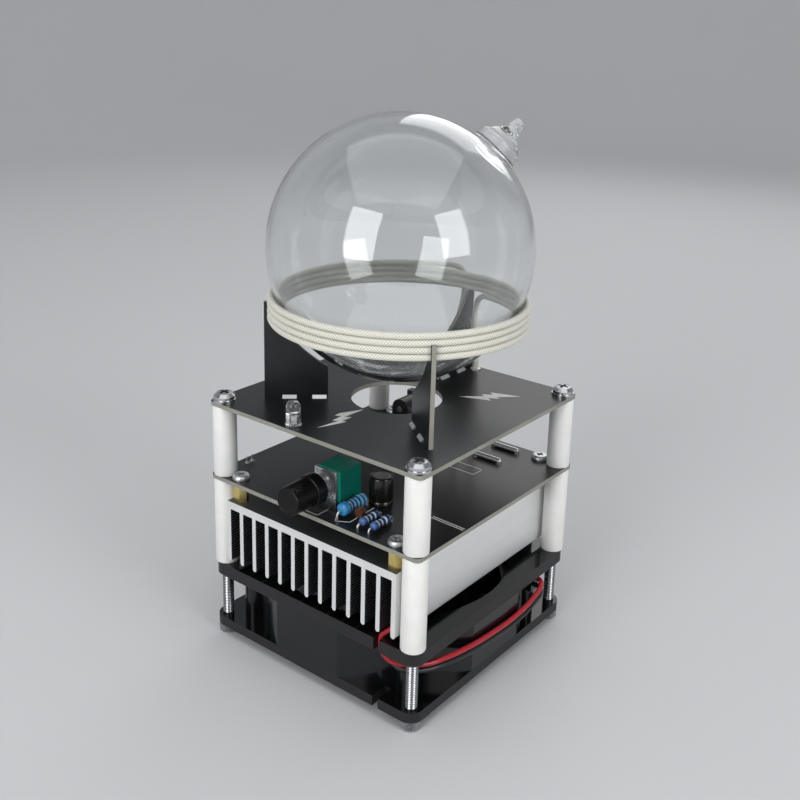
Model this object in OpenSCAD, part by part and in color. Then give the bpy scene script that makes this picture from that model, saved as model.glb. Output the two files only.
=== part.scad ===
// Plasma ring lamp: a gas-filled glass bulb seated on an induction winding,
// over two electronic decks, a finned heat sink and a fan between two plates.
// Millimetres. +Z is up, the knob faces -Y, the origin is on the stack axis
// in the plane of the feet.

/* [Decks] */
// side of the square boards and plates
board_w = 100; // [96:0.5:110]
// thickness of the circuit boards and of the cradle plates
board_t = 1.6; // [1.2:0.1:2]
// corner radius of the circuit boards
board_corner_r = 2; // [1:0.5:4]
// diameter of the hole in the top board
top_hole_d = 35; // [28:0.5:40]

/* [Base plates] */
// thickness of the bottom plate
bottom_plate_t = 4; // [3:0.5:6]
// thickness of the plate above the fan
upper_plate_t = 5; // [3:0.5:7]
// corner radius of both plates
plate_corner_r = 5; // [3:0.5:6]
// width of the lead slit in the front edge
slit_w = 2.6; // [2.2:0.1:3]
// depth of the lead slit
slit_depth = 7.5; // [6.8:0.1:8]
// distance of the lead slit from the right edge
slit_inset = 17; // [16.6:0.1:17.4]

/* [Posts and bolts] */
// distance from a bolt axis to the board edge
post_inset = 4.1; // [4:0.1:4.8]
// diameter of the nylon posts
post_d = 9; // [7.5:0.25:9.5]
// length of the lower posts
lower_post_h = 35; // [33:0.5:45]
// length of the upper posts
upper_post_h = 28; // [27:0.5:36]
// thread diameter of bolts, studs and top screws
bolt_d = 4; // [3:0.5:4]
// head diameter of the foot bolts
bolt_head_d = 7; // [6:0.25:8]
// head height of the foot bolts
bolt_head_h = 4; // [3:0.25:5]
// thread length held in a post
thread_len = 8; // [6:0.5:10]

/* [Fan] */
// height of the fan frame
fan_h = 18.5; // [17:0.5:25]
// wall between the fan bore and the flat side of the frame
fan_wall = 4; // [3:0.25:6]
// radial wall of the round duct
duct_wall = 6.2; // [5:0.1:8]
// diameter of the rotor hub
hub_d = 36; // [30:0.5:42]
// number of blades
blade_count = 7; // [5:1:9]
// blade pitch angle
blade_tilt = 38; // [25:1:45]
// shaft diameter
fan_shaft_d = 3; // [2:0.25:4]

/* [Heat sink] */
// number of fins
fin_count = 13; // [9:1:15]
// thickness of a fin
fin_t = 1.8; // [1.2:0.1:2.2]
// thickness of the heat sink base
sink_base_t = 3; // [2.5:0.25:5]
// gap from the fin tips to the plate below
fin_tip_gap = 3; // [2.5:0.1:6]
// length of the brass standoffs
standoff_h = 7; // [6.5:0.25:10]
// standoff width across flats
standoff_af = 5; // [4.5:0.25:6]

/* [Control] */
// sideways place of the control axis
pot_x = 2.2; // [-2:0.1:2.2]
// height of the control axis over its board
pot_axis_h = 9.5; // [8:0.1:11]
// width of the potentiometer body
pot_w = 10.5; // [8:0.25:10.5]
// height of the potentiometer body
pot_h = 11.6; // [9:0.2:12]
// depth of the potentiometer body
pot_depth = 11; // [8:0.25:12]
// diameter of the control shaft
pot_shaft_d = 4; // [3:0.25:5]
// diameter of the knob front
knob_d = 10.2; // [8:0.1:11]
// diameter of the knob skirt
knob_skirt_d = 11.8; // [11.4:0.1:14]
// length of the knob
knob_len = 14.6; // [11:0.1:17]

/* [Bulb] */
// outer diameter of the glass bulb
bulb_d = 98.6; // [96:0.2:102]
// wall of the glass bulb
bulb_wall = 1.5; // [1:0.1:2]
// gap from the top board to the lowest point of the bulb
bulb_gap = 9.2; // [8:0.1:14]
// tilt of the sealed tip from upright
tip_tilt = 44.5; // [0:0.5:48]
// direction of the sealed tip round the axis
tip_turn = 54.8; // [0:0.2:90]
// radius of the tip collar at its foot
tip_collar_r = 10.4; // [8:0.1:12]
// height of the tip over the bulb
tip_len = 14.9; // [12:0.1:18]

/* [Winding] */
// number of full loops
winding_loops = 4; // [3:1:4]
// diameter of the winding wire
wire_d = 2.05; // [1.8:0.05:2.3]
// gap between neighbouring loops
loop_gap = 0.46; // [0.45:0.01:0.6]
// how far the centre line of the winding lies inside the bulb radius
seat_inset = 1.7; // [1.3:0.1:2.3]
// gap from the winding to the bulb
seat_gap = 0.3; // [0.3:0.05:0.6]

/* [Cradles] */
// radius of the inner cradle edge
cradle_in_r = 26.2; // [24:0.2:28]
// gap from the cradle arc to the bulb
cradle_gap = 3.7; // [3:0.1:5]
// width of the finger outside the winding
finger_w = 1.3; // [1:0.1:2]
// rise of the finger over the notch floor
finger_h = 6.2; // [4:0.2:8]

/* [Hidden] */
$fn = 64;
eps = 0.01;
// which node to build, or all

// clearances, all radial or per side
bolt_fit = 0.15;
thread_fit = 0.1;
running_fit = 0.05;
press_gap = 0.03;
slot_fit = 0.1;
post_gap = 0.4;
lead_hole_fit = 0.2;

// levels of the stack
z_plate1 = bolt_head_h;
z_fan = z_plate1 + bottom_plate_t;
z_plate2 = z_fan + fan_h;
z_post1 = z_plate2 + upper_plate_t;
z_board1 = z_post1 + lower_post_h;
z_post2 = z_board1 + board_t;
z_board2 = z_post2 + upper_post_h;
z_deck = z_board2 + board_t;
half_w = board_w / 2;
bolt_xy = half_w - post_inset;
slit_x = half_w - slit_inset;
bolt_len = bottom_plate_t + fan_h + upper_plate_t + thread_len;
socket_across = 0.43 * bolt_head_d;
socket_depth = 0.5 * bolt_head_h;
head_edge = 0.5;

// fan
fan_bore_r = half_w - fan_wall;
duct_r = fan_bore_r + duct_wall;
lug_r = 4;
lug_xy = (duct_r + lug_r - 1.8) / sqrt(2);
lug_hole_r = 2;
strut_gap = 2;
strut_t = 2.4;
strut_w = 4;
strut_count = 4;
strut_turn = 45;
hub_r = hub_d / 2;
hub_wall = 1.5;
hub_floor_z = z_fan + strut_gap;
hub_floor_top = hub_floor_z + strut_t;
rotor_gap = 1;
rotor_z = hub_floor_top + rotor_gap;
rotor_top_gap = 1.5;
rotor_top = z_plate2 - rotor_top_gap;
bearing_wall = 2;
tube_wall = 1.6;
tube_in_r = fan_shaft_d / 2 + bearing_wall;
tube_out_r = tube_in_r + tube_wall;
tube_top_gap = 1.2;
tube_top = rotor_top - hub_wall - tube_top_gap;
magnet_t = 1.8;
magnet_out_r = hub_r - hub_wall - press_gap;
magnet_in_r = magnet_out_r - magnet_t;
magnet_lift = 0.6;
magnet_end_gap = 0.4;
air_gap = 0.6;
stator_lift = 1;
stator_r = magnet_in_r - air_gap;
stator_z = hub_floor_top + stator_lift;
stator_h = tube_top - stator_z - air_gap;
shaft_lift = 0.3;
stator_slot_r = (stator_r - tube_out_r) * 0.38;
blade_gap = 1;
blade_t = 1.4;
blade_chord = 17;
lead_block_x = 0.93 * half_w;
lead_block_y = 0.66 * half_w;
lead_block_w = 5;
lead_block_h = 8;
lead_block_in = 12;
lead_block_lift = 10;
lead_block_z = z_fan + lead_block_lift;

// heat sink and standoffs
sink_w = 2 * (bolt_xy - post_d / 2 - post_gap);
sink_top = z_board1 - standoff_h;
fin_tip_z = z_post1 + fin_tip_gap;
fin_h = sink_top - sink_base_t - fin_tip_z;
fin_step = (sink_w - fin_t) / (fin_count - 1);
standoff_inset_x = 3.3;
standoff_inset_y = 4.2;
standoff_x = sink_w / 2 - standoff_inset_x;
standoff_y = half_w - standoff_inset_y;
small_d = 3;
standoff_bore = 5;
small_head_d = 6.6;
small_head_h = 1.9;
small_head_flat = 0.37;

// transistor on the heat sink
tran_x = 0;
tran_y = 8;
tran_w = 10;
tran_body_l = 9.2;
tran_body_h = 4.4;
tran_tab_l = 6.4;
tran_tab_t = 1.3;
tran_leg_w = 0.9;
tran_leg_t = 0.5;
tran_leg_step = 2.54;
tran_leg_reach = 3;
tran_leg_z = 2.2;
tran_hole_d = small_d + 2 * bolt_fit;
tran_head_d = 5.6;
pad_t = 0.3;
pad_rim = 1;

// control
pot_z = z_post2 + pot_axis_h;
pot_inset = 8;
pot_face_y = -(half_w - pot_inset);
pot_plate_t = 1;
pot_plate_w = 10.2;
pot_plate_h = 11.6;
bushing_d = pot_shaft_d + 2.6;
bushing_len = 3.4;
knob_gap = 0.8;
knob_back_y = pot_face_y - pot_plate_t - bushing_len - knob_gap;
knob_front_y = knob_back_y - knob_len;
knob_skirt_len = 4.8;
knob_bore_len = 9;
pot_shaft_in = 6;
pot_pin_w = 0.8;
pot_body_shift = 1.5;
pot_body_x = pot_x + pot_body_shift;
pot_body_lift = 4.1;

// parts on the driver board
lead_d = 0.8;
power_res_x = 12.2;
power_res_inset = 10.8;
power_res_y = -(half_w - power_res_inset);
power_res_d = 4.9;
power_res_len = 12.4;
power_res_z = 3.4;
small_res_x = [21.8, 26.8];
small_res_inset = 8.7;
small_res_y = -(half_w - small_res_inset);
small_res_d = 3;
small_res_len = 9;
small_res_z = 2.2;
res_lead_run = 2.2;
cer_x = 16.6;
cer_inset = 9.8;
cer_y = -(half_w - cer_inset);
cer_d = 3.6;
cer_t = 2;
cer_z = 2.2;
elec_x = 14.5;
elec_inset = 23.9;
elec_y = -(half_w - elec_inset);
elec_d = 9;
elec_h = 10.9;
link_x = [17, 28];
link_inset = [19.2, 6.2];
link_y = [half_w - link_inset[0], half_w - link_inset[1]];
link_d = 2.2;
link_lift = 0;
pin_w = 0.7;
pin_inset_x = 3.8;
pin_inset_y = [15.6, 18.2];
pin_x = -(half_w - pin_inset_x);
pin_y = [-(half_w - pin_inset_y[0]), -(half_w - pin_inset_y[1])];
pin_rise = 2.6;
pin_solder_d = 1.9;
pin_solder_h = 1;
inlet_inset_x = 23;
inlet_x = -(half_w - inlet_inset_x);
inlet_w = 9.2;
inlet_l = 14;
inlet_h = 11.2;
inlet_out = 1;
inlet_flange_t = 3.4;
inlet_axis_h = 6.5;
inlet_barrel_r = 4.3;
inlet_bore_d = 6.4;
inlet_bore_l = 9;
inlet_pin_d = 2;
inlet_pin_set = 1;
rivet_d = 2.8;
rivet_t = 0.5;
conn_w = 7.5;
conn_l = 5.6;
conn_h = 5.6;
conn_pitch = 2.5;
conn_gap_x = 7;
conn_inset_y = 5.3;
conn_drop = 3;
conn_x = standoff_x - conn_gap_x;
conn_y = half_w - conn_inset_y;
conn_z = z_board1 - conn_drop;

// top board
washer_d = 8.6;
washer_t = 0.8;
top_head_d = 8;
top_head_h = 2.6;
led_x = -9.3;
led_inset = 3.1;
led_y = -(half_w - led_inset);
led_lift = 0.4;
led_d = 5.2;
led_flange_d = 6;
led_flange_t = 1;
led_h = 9.6;
led_pitch = 2.54;
led_lead_w = 0.5;
led_lead_tail = 1.4;
terminal_x = 4.3;
terminal_inset = 3.5;
terminal_y = half_w - terminal_inset;
terminal_d = 4.2;
terminal_t = 0.5;
terminal_stem_d = 2.4;
feed_d = 2;

// bulb
bulb_r = bulb_d / 2;
z_bulb = z_deck + bulb_gap + bulb_r;
tip_collar_at = sqrt(bulb_r * bulb_r - tip_collar_r * tip_collar_r);
tip_shoulder_in = 1.9;
tip_shoulder_rise = 5;
tip_neck_rise = 3.2;
tip_neck_drop = 4.6;
tip_shoulder_r = tip_collar_r - tip_shoulder_in;
tip_shoulder_at = tip_collar_at + tip_shoulder_rise;
tip_end_at = bulb_r + tip_len;
tip_ball_r = 2.2;
tip_points = [[tip_collar_r, tip_collar_at], [tip_shoulder_r, tip_shoulder_at],
    [tip_shoulder_r * 0.62, tip_shoulder_at + tip_neck_rise], [tip_ball_r * 1.25, tip_end_at - tip_neck_drop],
    [tip_ball_r, tip_end_at - tip_ball_r]];

// winding
wire_r = wire_d / 2;
winding_r = bulb_r - seat_inset;
loop_step = wire_d + loop_gap;
lead_angle = atan(terminal_x / terminal_y);
start_angle = 90 - lead_angle;
end_angle = 90 + lead_angle - 360 * winding_loops;
turn_total = start_angle - end_angle;
winding_top = z_bulb - sqrt(pow(bulb_r + wire_r + seat_gap, 2) - winding_r * winding_r);
winding_low = winding_top - loop_step * turn_total / 360;
rings_per_loop = 24;
wire_sides = 6;
lead_r = norm([terminal_x, terminal_y]);
lead_foot_z = z_deck + terminal_t;
out_r = winding_r + wire_d + loop_gap;
helix_skip = 9;
helix_stop = 24;
helix_count = round(rings_per_loop * (turn_total - helix_skip - helix_stop) / 360);

// a point from an angle, a radius and a height
function polar(a, r, z) = [r * cos(a), r * sin(a), z];
// the height of the helix after it has turned by an angle
function helix_z(turned) = winding_low + loop_step * turned / 360;

lead_in = [polar(start_angle, lead_r, lead_foot_z),
    polar(start_angle, lead_r, lead_foot_z + wire_d),
    polar(start_angle, lead_r + 0.3, (lead_foot_z + winding_low) / 2),
    polar(start_angle, winding_r - 0.3, winding_low - 5),
    polar(start_angle - 0.3, winding_r, winding_low - 2.8),
    polar(start_angle - 2.2, winding_r, winding_low - 0.9),
    polar(start_angle - 5, winding_r, winding_low - 0.1)];
helix = [for (i = [0 : helix_count])
    let (turned = helix_skip + i * (turn_total - helix_skip - helix_stop) / helix_count)
    polar(start_angle - turned, winding_r, helix_z(turned))];
lead_out = [polar(end_angle + 16, winding_r + 0.7, winding_top),
    polar(end_angle + 9, winding_r + 1.7, winding_top + 0.1),
    polar(end_angle + 4, out_r - 0.2, winding_top - 0.2),
    polar(end_angle + 1.2, out_r + 0.2, winding_top - 1.7),
    polar(end_angle, out_r + 0.3, winding_top - 4),
    polar(end_angle, out_r + 0.3, winding_low - 1),
    polar(end_angle, out_r - 0.3, winding_low - 4.5),
    polar(end_angle, lead_r + 1.2, winding_low - 9),
    polar(end_angle, lead_r, winding_low - 14),
    polar(end_angle, lead_r, lead_foot_z + wire_d),
    polar(end_angle, lead_r, lead_foot_z)];
winding_path = concat(lead_in, helix, lead_out);

// the least gap of a tube to itself, between rings more than skip apart
function least_gap(path, d, skip) = min([for (i = [0 : len(path) - 1 - skip])
    min([for (j = [i + skip : len(path) - 1]) norm(path[i] - path[j])])]) - d;
echo(winding_least_gap = least_gap(winding_path, wire_d, 8));

// cradles
cradle_angles = [222, 322, 90];
cradle_arc_r = bulb_r + cradle_gap;
cradle_out_r = winding_r + wire_r + slot_fit + finger_w;
notch_fit = 0.35;
tenon_w = 5.4;
tenon_in = 3.2;
tenon_out = 9.4;
tenon_r = [cradle_in_r + tenon_in, cradle_out_r - tenon_out];
fillet_leg = 1.1;
function first_turn(a) = (start_angle - a + 720) % 360;
function notch_floor(a) = helix_z(first_turn(a)) - wire_r - notch_fit - z_deck;

// fan leads
fan_lead_d = 2;
lead_side_gap = 0.2;
fan_lead_sides = 8;
// the channel between the last two fins, which the leads run through
channel_in = sink_w / 2 - fin_step;
channel_out = sink_w / 2 - fin_t;
red_x = channel_out - fan_lead_d / 2 - lead_side_gap;
black_x = channel_in + fan_lead_d / 2 + lead_side_gap;
// in a narrow channel the red lead rides over the dark one by this much
lead_pair_gap = 0.3;
lead_rise = sqrt(max(0, pow(fan_lead_d + lead_pair_gap, 2) - pow(red_x - black_x, 2)));
red_end = conn_x + conn_pitch / 2;
black_end = conn_x - conn_pitch / 2;
conn_face = conn_y + conn_l / 2;
// a point beside the fan, in shares of the half width and of the fan height
function beside(x, y, z) = [x * half_w, y * half_w, z_fan + z * fan_h];
// a point behind the board, on the way from the channel to the connector
function behind(from, to, share, out, z) = [from + (to - from) * share, half_w + out, z];
red_run_z = z_post1 + 7.5 + lead_rise;
red_points = [[lead_block_x, lead_block_y, lead_block_z + 5.4],
    [lead_block_x + fan_lead_d, lead_block_y, lead_block_z + 5.4],
    beside(1.012, 0.62, 0.8), beside(1.026, 0.48, 0.665), beside(1.03, 0.24, 0.578),
    beside(1.03, -0.08, 0.605), beside(1.02, -0.4, 0.681), beside(0.984, -0.64, 0.735),
    beside(0.932, -0.768, 0.735), beside(0.86, -0.856, 0.757), beside(0.78, -0.92, 0.784),
    [slit_x + 2.6, 2.5 - half_w, z_plate2 - 2.3], [slit_x + 0.2, 2.6 - half_w, z_plate2 + 0.7],
    [slit_x, 2.8 - half_w, z_post1 - 0.6], [slit_x + 0.2, 3 - half_w, z_post1 + 0.1],
    [channel_in + 0.1, 3.4 - half_w, z_post1 + 1.5], [channel_in + 1.7, 4.2 - half_w, fin_tip_z],
    [red_x - 0.4, 6 - half_w, fin_tip_z + 1.8], [red_x, 9 - half_w, z_post1 + 6.7 + lead_rise],
    [red_x, 22 - half_w, red_run_z], [red_x, 0, red_run_z], [red_x, half_w - 22, red_run_z],
    behind(red_x, red_end, 0, -4, red_run_z + 0.4), behind(red_x, red_end, 0.03, 1.4, red_run_z + 3),
    behind(red_x, red_end, 0.1, 2.4, z_post1 + 16.5), behind(red_x, red_end, 0.3, 2.4, z_board1 - 10.5),
    behind(red_x, red_end, 0.7, 2, z_board1 - 5.3), behind(red_x, red_end, 0.96, 0.5, conn_z - 0.1),
    [red_end, conn_face + fan_lead_d, conn_z], [red_end, conn_face, conn_z]];
black_points = [[lead_block_x, lead_block_y, lead_block_z + 2.4],
    [lead_block_x + fan_lead_d, lead_block_y, lead_block_z + 2.4],
    beside(1.012, 0.62, 0.64), beside(1.026, 0.48, 0.52), beside(1.03, 0.24, 0.445),
    beside(1.03, -0.08, 0.481), beside(1.02, -0.4, 0.557), beside(0.984, -0.64, 0.611),
    beside(0.932, -0.768, 0.611), beside(0.86, -0.856, 0.632), beside(0.78, -0.9, 0.665),
    [slit_x + 2.6, 4.8 - half_w, z_plate2 - 4], [slit_x + 0.3, 5 - half_w, z_plate2 - 1.1],
    [slit_x, 5.2 - half_w, z_post1 - 0.9], [slit_x + 0.1, 5.3 - half_w, z_post1],
    [channel_in, 6 - half_w, z_post1 + 1.5], [black_x, 6.8 - half_w, fin_tip_z],
    [black_x, 9 - half_w, fin_tip_z + 2.3], [black_x, 13 - half_w, z_post1 + 7],
    [black_x, 26 - half_w, z_post1 + 7.5], [black_x, 0, z_post1 + 7.5],
    [black_x, half_w - 22, z_post1 + 7.5],
    behind(black_x, black_end, 0, -4, z_post1 + 7.9),
    behind(black_x, black_end, 0.02, 1.4 + lead_rise, z_post1 + 10.5),
    behind(black_x, black_end, 0.09, 2.4 + lead_rise, z_post1 + 16.5),
    behind(black_x, black_end, 0.3, 2.4 + lead_rise, z_board1 - 10.5),
    behind(black_x, black_end, 0.74, 2, z_board1 - 5.3), behind(black_x, black_end, 0.96, 0.5, conn_z - 0.1),
    [black_end, conn_face + fan_lead_d, conn_z], [black_end, conn_face, conn_z]];

// a smooth path through points: a point halfway along each span but the end ones
function mid_point(p, i) = (9 * (p[i] + p[i + 1]) - p[i - 1] - p[i + 2]) / 16;
function smooth_path(p) = [for (i = [0 : len(p) - 1])
    each (i > 0 && i < len(p) - 2 && norm(p[i + 1] - p[i]) > 7) ? [p[i], mid_point(p, i)] : [p[i]]];

// unit vector
function unit(v) = v / norm(v);
// direction of a path at a ring
function along(p, i) = i == 0 ? unit(p[1] - p[0])
    : i == len(p) - 1 ? unit(p[i] - p[i - 1])
    : unit(unit(p[i + 1] - p[i]) + unit(p[i] - p[i - 1]));
// the part of a vector square to a direction
function square_to(v, t) = unit(v - (v * t) * t);

// one unbroken tube along a path, with a reference vector for each ring
module tube(p, r, sides, refs) {
    n = len(p);
    pts = [for (i = [0 : n - 1])
        let (t = along(p, i), u = square_to(refs[i], t), v = cross(t, u))
        for (k = [0 : sides - 1])
        p[i] + r * cos(360 * k / sides) * u + r * sin(360 * k / sides) * v];
    walls = [for (i = [0 : n - 2], k = [0 : sides - 1])
        let (a = i * sides + k, b = i * sides + (k + 1) % sides)
        each [[a, a + sides, b], [b, a + sides, b + sides]]];
    first = [for (k = [1 : sides - 2]) [0, k, k + 1]];
    last_at = (n - 1) * sides;
    last = [for (k = [1 : sides - 2]) [last_at, last_at + k + 1, last_at + k]];
    polyhedron(points = pts, faces = concat(walls, first, last), convexity = 6);
}

module at_corners(dx, dy) {
    for (sx = [-1, 1], sy = [-1, 1])
        translate([sx * dx, sy * dy, 0]) children();
}

// a square outline with round corners
module round_square(w, r) {
    square([w - 2 * r, w], center = true);
    square([w, w - 2 * r], center = true);
    for (sx = [-1, 1], sy = [-1, 1])
        translate([sx * (w / 2 - r), sy * (w / 2 - r)]) circle(r);
}

// a pan head with a cross recess, standing on its seat; flat is the radius of its top as a share of d
module pan_head(d, h, recess, flat = 0.22) {
    difference() {
        rotate_extrude()
            polygon([[0, 0], [d / 2, 0], [d / 2, 0.45 * h], [(0.25 + flat / 2) * d, 0.9 * h], [flat * d, h],
                [0, h]]);
        translate([0, 0, h]) cube([recess, recess / 3.6, h], center = true);
        translate([0, 0, h]) cube([recess / 3.6, recess, h], center = true);
    }
}

module base_plate(t) {
    linear_extrude(t) difference() {
        round_square(board_w, plate_corner_r);
        circle(fan_bore_r);
        for (sx = [-1, 1], sy = [-1, 1])
            translate([sx * bolt_xy, sy * bolt_xy]) circle(bolt_d / 2 + bolt_fit);
        translate([slit_x - slit_w / 2, -half_w - 1]) square([slit_w, slit_depth + 1]);
    }
}

module foot_bolts() {
    color("#C4C6C9")
    at_corners(bolt_xy, bolt_xy) {
        difference() {
            rotate_extrude() polygon([[0, 0], [bolt_head_d / 2 - head_edge, 0], [bolt_head_d / 2, head_edge],
                [bolt_head_d / 2, bolt_head_h], [0, bolt_head_h]]);
            translate([0, 0, -eps]) cylinder(d = socket_across / cos(30), h = socket_depth, $fn = 6);
        }
        translate([0, 0, bolt_head_h - eps]) cylinder(d = bolt_d, h = bolt_len + eps);
    }
}

module bottom_plate() {
    color("#151618") translate([0, 0, z_plate1]) base_plate(bottom_plate_t);
}

module upper_plate() {
    color("#151618") translate([0, 0, z_plate2]) base_plate(upper_plate_t);
}

module fan_frame() {
    color("#101113") {
        difference() {
            union() {
                translate([0, 0, z_fan]) intersection() {
                    cylinder(r = duct_r, h = fan_h);
                    translate([-half_w, -half_w, 0]) cube([board_w, board_w, fan_h]);
                }
                translate([0, 0, z_fan]) at_corners(lug_xy, lug_xy) cylinder(r = lug_r, h = fan_h);
                translate([lead_block_x - lead_block_in, lead_block_y - lead_block_w / 2, lead_block_z])
                    cube([lead_block_in, lead_block_w, lead_block_h]);
            }
            translate([0, 0, z_fan - 1]) cylinder(r = fan_bore_r, h = fan_h + 2);
            translate([0, 0, z_fan - 1]) at_corners(lug_xy, lug_xy) cylinder(r = lug_hole_r, h = fan_h + 2);
        }
        difference() {
            union() {
                translate([0, 0, hub_floor_z]) cylinder(r = hub_r, h = strut_t);
                for (k = [0 : strut_count - 1])
                    rotate(strut_turn + 360 * k / strut_count)
                        translate([hub_r - 1, -strut_w / 2, hub_floor_z])
                        cube([fan_bore_r - hub_r + 2, strut_w, strut_t]);
                translate([0, 0, hub_floor_z]) cylinder(r = tube_out_r, h = tube_top - hub_floor_z);
            }
            translate([0, 0, hub_floor_top]) cylinder(r = tube_in_r, h = fan_h);
        }
    }
}

module fan_bearing() {
    color("#B08A4A")
    translate([0, 0, hub_floor_top]) difference() {
        cylinder(r = tube_in_r - press_gap, h = tube_top - hub_floor_top);
        translate([0, 0, -1]) cylinder(r = fan_shaft_d / 2 + running_fit, h = tube_top - hub_floor_top + 2);
    }
}

module fan_stator() {
    color("#8A5A36")
    translate([0, 0, stator_z]) difference() {
        cylinder(r = stator_r, h = stator_h);
        translate([0, 0, -1]) cylinder(r = tube_out_r + press_gap, h = stator_h + 2);
        for (a = [0 : 90 : 270])
            rotate(a) translate([(stator_r + tube_out_r) / 2, 0, -1])
                cylinder(r = stator_slot_r, h = stator_h + 2);
    }
}

module fan_rotor() {
    color("#17181A") {
        difference() {
            translate([0, 0, rotor_z]) cylinder(r = hub_r, h = rotor_top - rotor_z);
            translate([0, 0, rotor_z - 1])
                cylinder(r = hub_r - hub_wall, h = rotor_top - rotor_z - hub_wall + 1);
            translate([0, 0, rotor_z]) cylinder(r = fan_shaft_d / 2 + press_gap, h = rotor_top);
        }
        for (k = [0 : blade_count - 1])
            rotate(360 * k / blade_count) fan_blade();
    }
}

module fan_blade() {
    intersection() {
        translate([0, 0, rotor_z]) difference() {
            cylinder(r = fan_bore_r - blade_gap, h = rotor_top - rotor_z);
            translate([0, 0, -1]) cylinder(r = hub_r - hub_wall / 2, h = rotor_top - rotor_z + 2);
        }
        translate([hub_r - hub_wall, 0, (rotor_z + rotor_top) / 2]) rotate([blade_tilt, 0, 0])
            translate([0, -blade_chord / 2, -blade_t / 2]) cube([fan_bore_r, blade_chord, blade_t]);
    }
}

module fan_magnet() {
    color("#2B2C2E")
    translate([0, 0, rotor_z + magnet_lift]) difference() {
        cylinder(r = magnet_out_r, h = rotor_top - rotor_z - hub_wall - magnet_lift - magnet_end_gap);
        translate([0, 0, -1]) cylinder(r = magnet_in_r, h = fan_h);
    }
}

module fan_shaft() {
    color("#C9CBCE")
    translate([0, 0, hub_floor_top + shaft_lift])
        cylinder(d = fan_shaft_d, h = rotor_top - hub_floor_top - shaft_lift);
}

module nylon_post(h) {
    difference() {
        cylinder(d = post_d, h = h);
        translate([0, 0, -1]) cylinder(r = bolt_d / 2 + thread_fit, h = h + 2);
    }
}

module lower_posts() {
    color("#F4F4F0") translate([0, 0, z_post1]) at_corners(bolt_xy, bolt_xy) nylon_post(lower_post_h);
}

module upper_posts() {
    color("#F4F4F0") translate([0, 0, z_post2]) at_corners(bolt_xy, bolt_xy) nylon_post(upper_post_h);
}

module post_studs() {
    color("#9A9DA1")
    translate([0, 0, z_board1 - thread_len]) at_corners(bolt_xy, bolt_xy)
        cylinder(d = bolt_d, h = 2 * thread_len + board_t);
}

module heat_sink() {
    color("#C8CACC")
    difference() {
        union() {
            translate([-sink_w / 2, -half_w, sink_top - sink_base_t]) cube([sink_w, board_w, sink_base_t]);
            for (k = [0 : fin_count - 1])
                translate([-sink_w / 2 + k * fin_step, -half_w, fin_tip_z])
                    sink_fin();
        }
        translate([0, 0, sink_top - sink_base_t - 1]) at_corners(standoff_x, standoff_y)
            cylinder(r = small_d / 2 + thread_fit, h = sink_base_t + 2);
        translate([tran_x, tran_y + tran_body_l + tran_tab_l / 2, sink_top - sink_base_t - 1])
            cylinder(r = small_d / 2 + thread_fit, h = sink_base_t + 2);
    }
}

// a fin with a rounded tip
module sink_fin() {
    translate([0, 0, fin_t / 2]) cube([fin_t, board_w, fin_h - fin_t / 2 + eps]);
    translate([fin_t / 2, board_w, fin_t / 2]) rotate([90, 0, 0]) cylinder(d = fin_t, h = board_w);
}

module brass_standoffs() {
    color("#C9A24B")
    at_corners(standoff_x, standoff_y) {
        translate([0, 0, sink_top]) difference() {
            cylinder(d = standoff_af / cos(30), h = standoff_h, $fn = 6);
            translate([0, 0, standoff_h - standoff_bore])
                cylinder(r = small_d / 2 + thread_fit, h = standoff_bore + 1);
        }
        translate([0, 0, sink_top - sink_base_t]) cylinder(d = small_d, h = sink_base_t + eps);
    }
}

module standoff_screws() {
    color("#C4C6C9")
    at_corners(standoff_x, standoff_y) {
        translate([0, 0, z_post2]) pan_head(small_head_d, small_head_h, 0.4 * small_head_d, small_head_flat);
        translate([0, 0, z_board1 - standoff_bore + 1])
            cylinder(d = small_d, h = standoff_bore - 1 + board_t + eps);
    }
}

module driver_board() {
    color("#1B1C1E")
    translate([0, 0, z_board1]) difference() {
        linear_extrude(board_t) round_square(board_w, board_corner_r);
        translate([0, 0, -1]) at_corners(bolt_xy, bolt_xy)
            cylinder(r = bolt_d / 2 + bolt_fit, h = board_t + 2);
        translate([0, 0, -1]) at_corners(standoff_x, standoff_y)
            cylinder(r = small_d / 2 + bolt_fit, h = board_t + 2);
    }
}

module power_transistor() {
    color("#1A1A1C")
    translate([tran_x, tran_y, sink_top + pad_t]) {
        translate([-tran_w / 2, 0, 0]) cube([tran_w, tran_body_l, tran_body_h]);
        difference() {
            translate([-tran_w / 2, tran_body_l - eps, 0]) cube([tran_w, tran_tab_l + eps, tran_tab_t]);
            translate([0, tran_body_l + tran_tab_l / 2, -1]) cylinder(d = tran_hole_d, h = tran_tab_t + 2);
        }
        for (k = [-1, 0, 1]) {
            translate([k * tran_leg_step - tran_leg_w / 2, -tran_leg_reach, tran_leg_z])
                cube([tran_leg_w, tran_leg_reach + eps, tran_leg_t]);
            translate([k * tran_leg_step - tran_leg_w / 2, -tran_leg_reach, tran_leg_z])
                cube([tran_leg_w, tran_leg_t, standoff_h - pad_t - tran_leg_z]);
        }
    }
}

module transistor_pad() {
    color("#B9BEC4")
    translate([tran_x, tran_y, sink_top]) difference() {
        translate([-tran_w / 2 - pad_rim, -pad_rim, 0])
            cube([tran_w + 2 * pad_rim, tran_body_l + tran_tab_l + 2 * pad_rim, pad_t]);
        translate([0, tran_body_l + tran_tab_l / 2, -1]) cylinder(d = tran_hole_d, h = pad_t + 2);
    }
}

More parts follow.
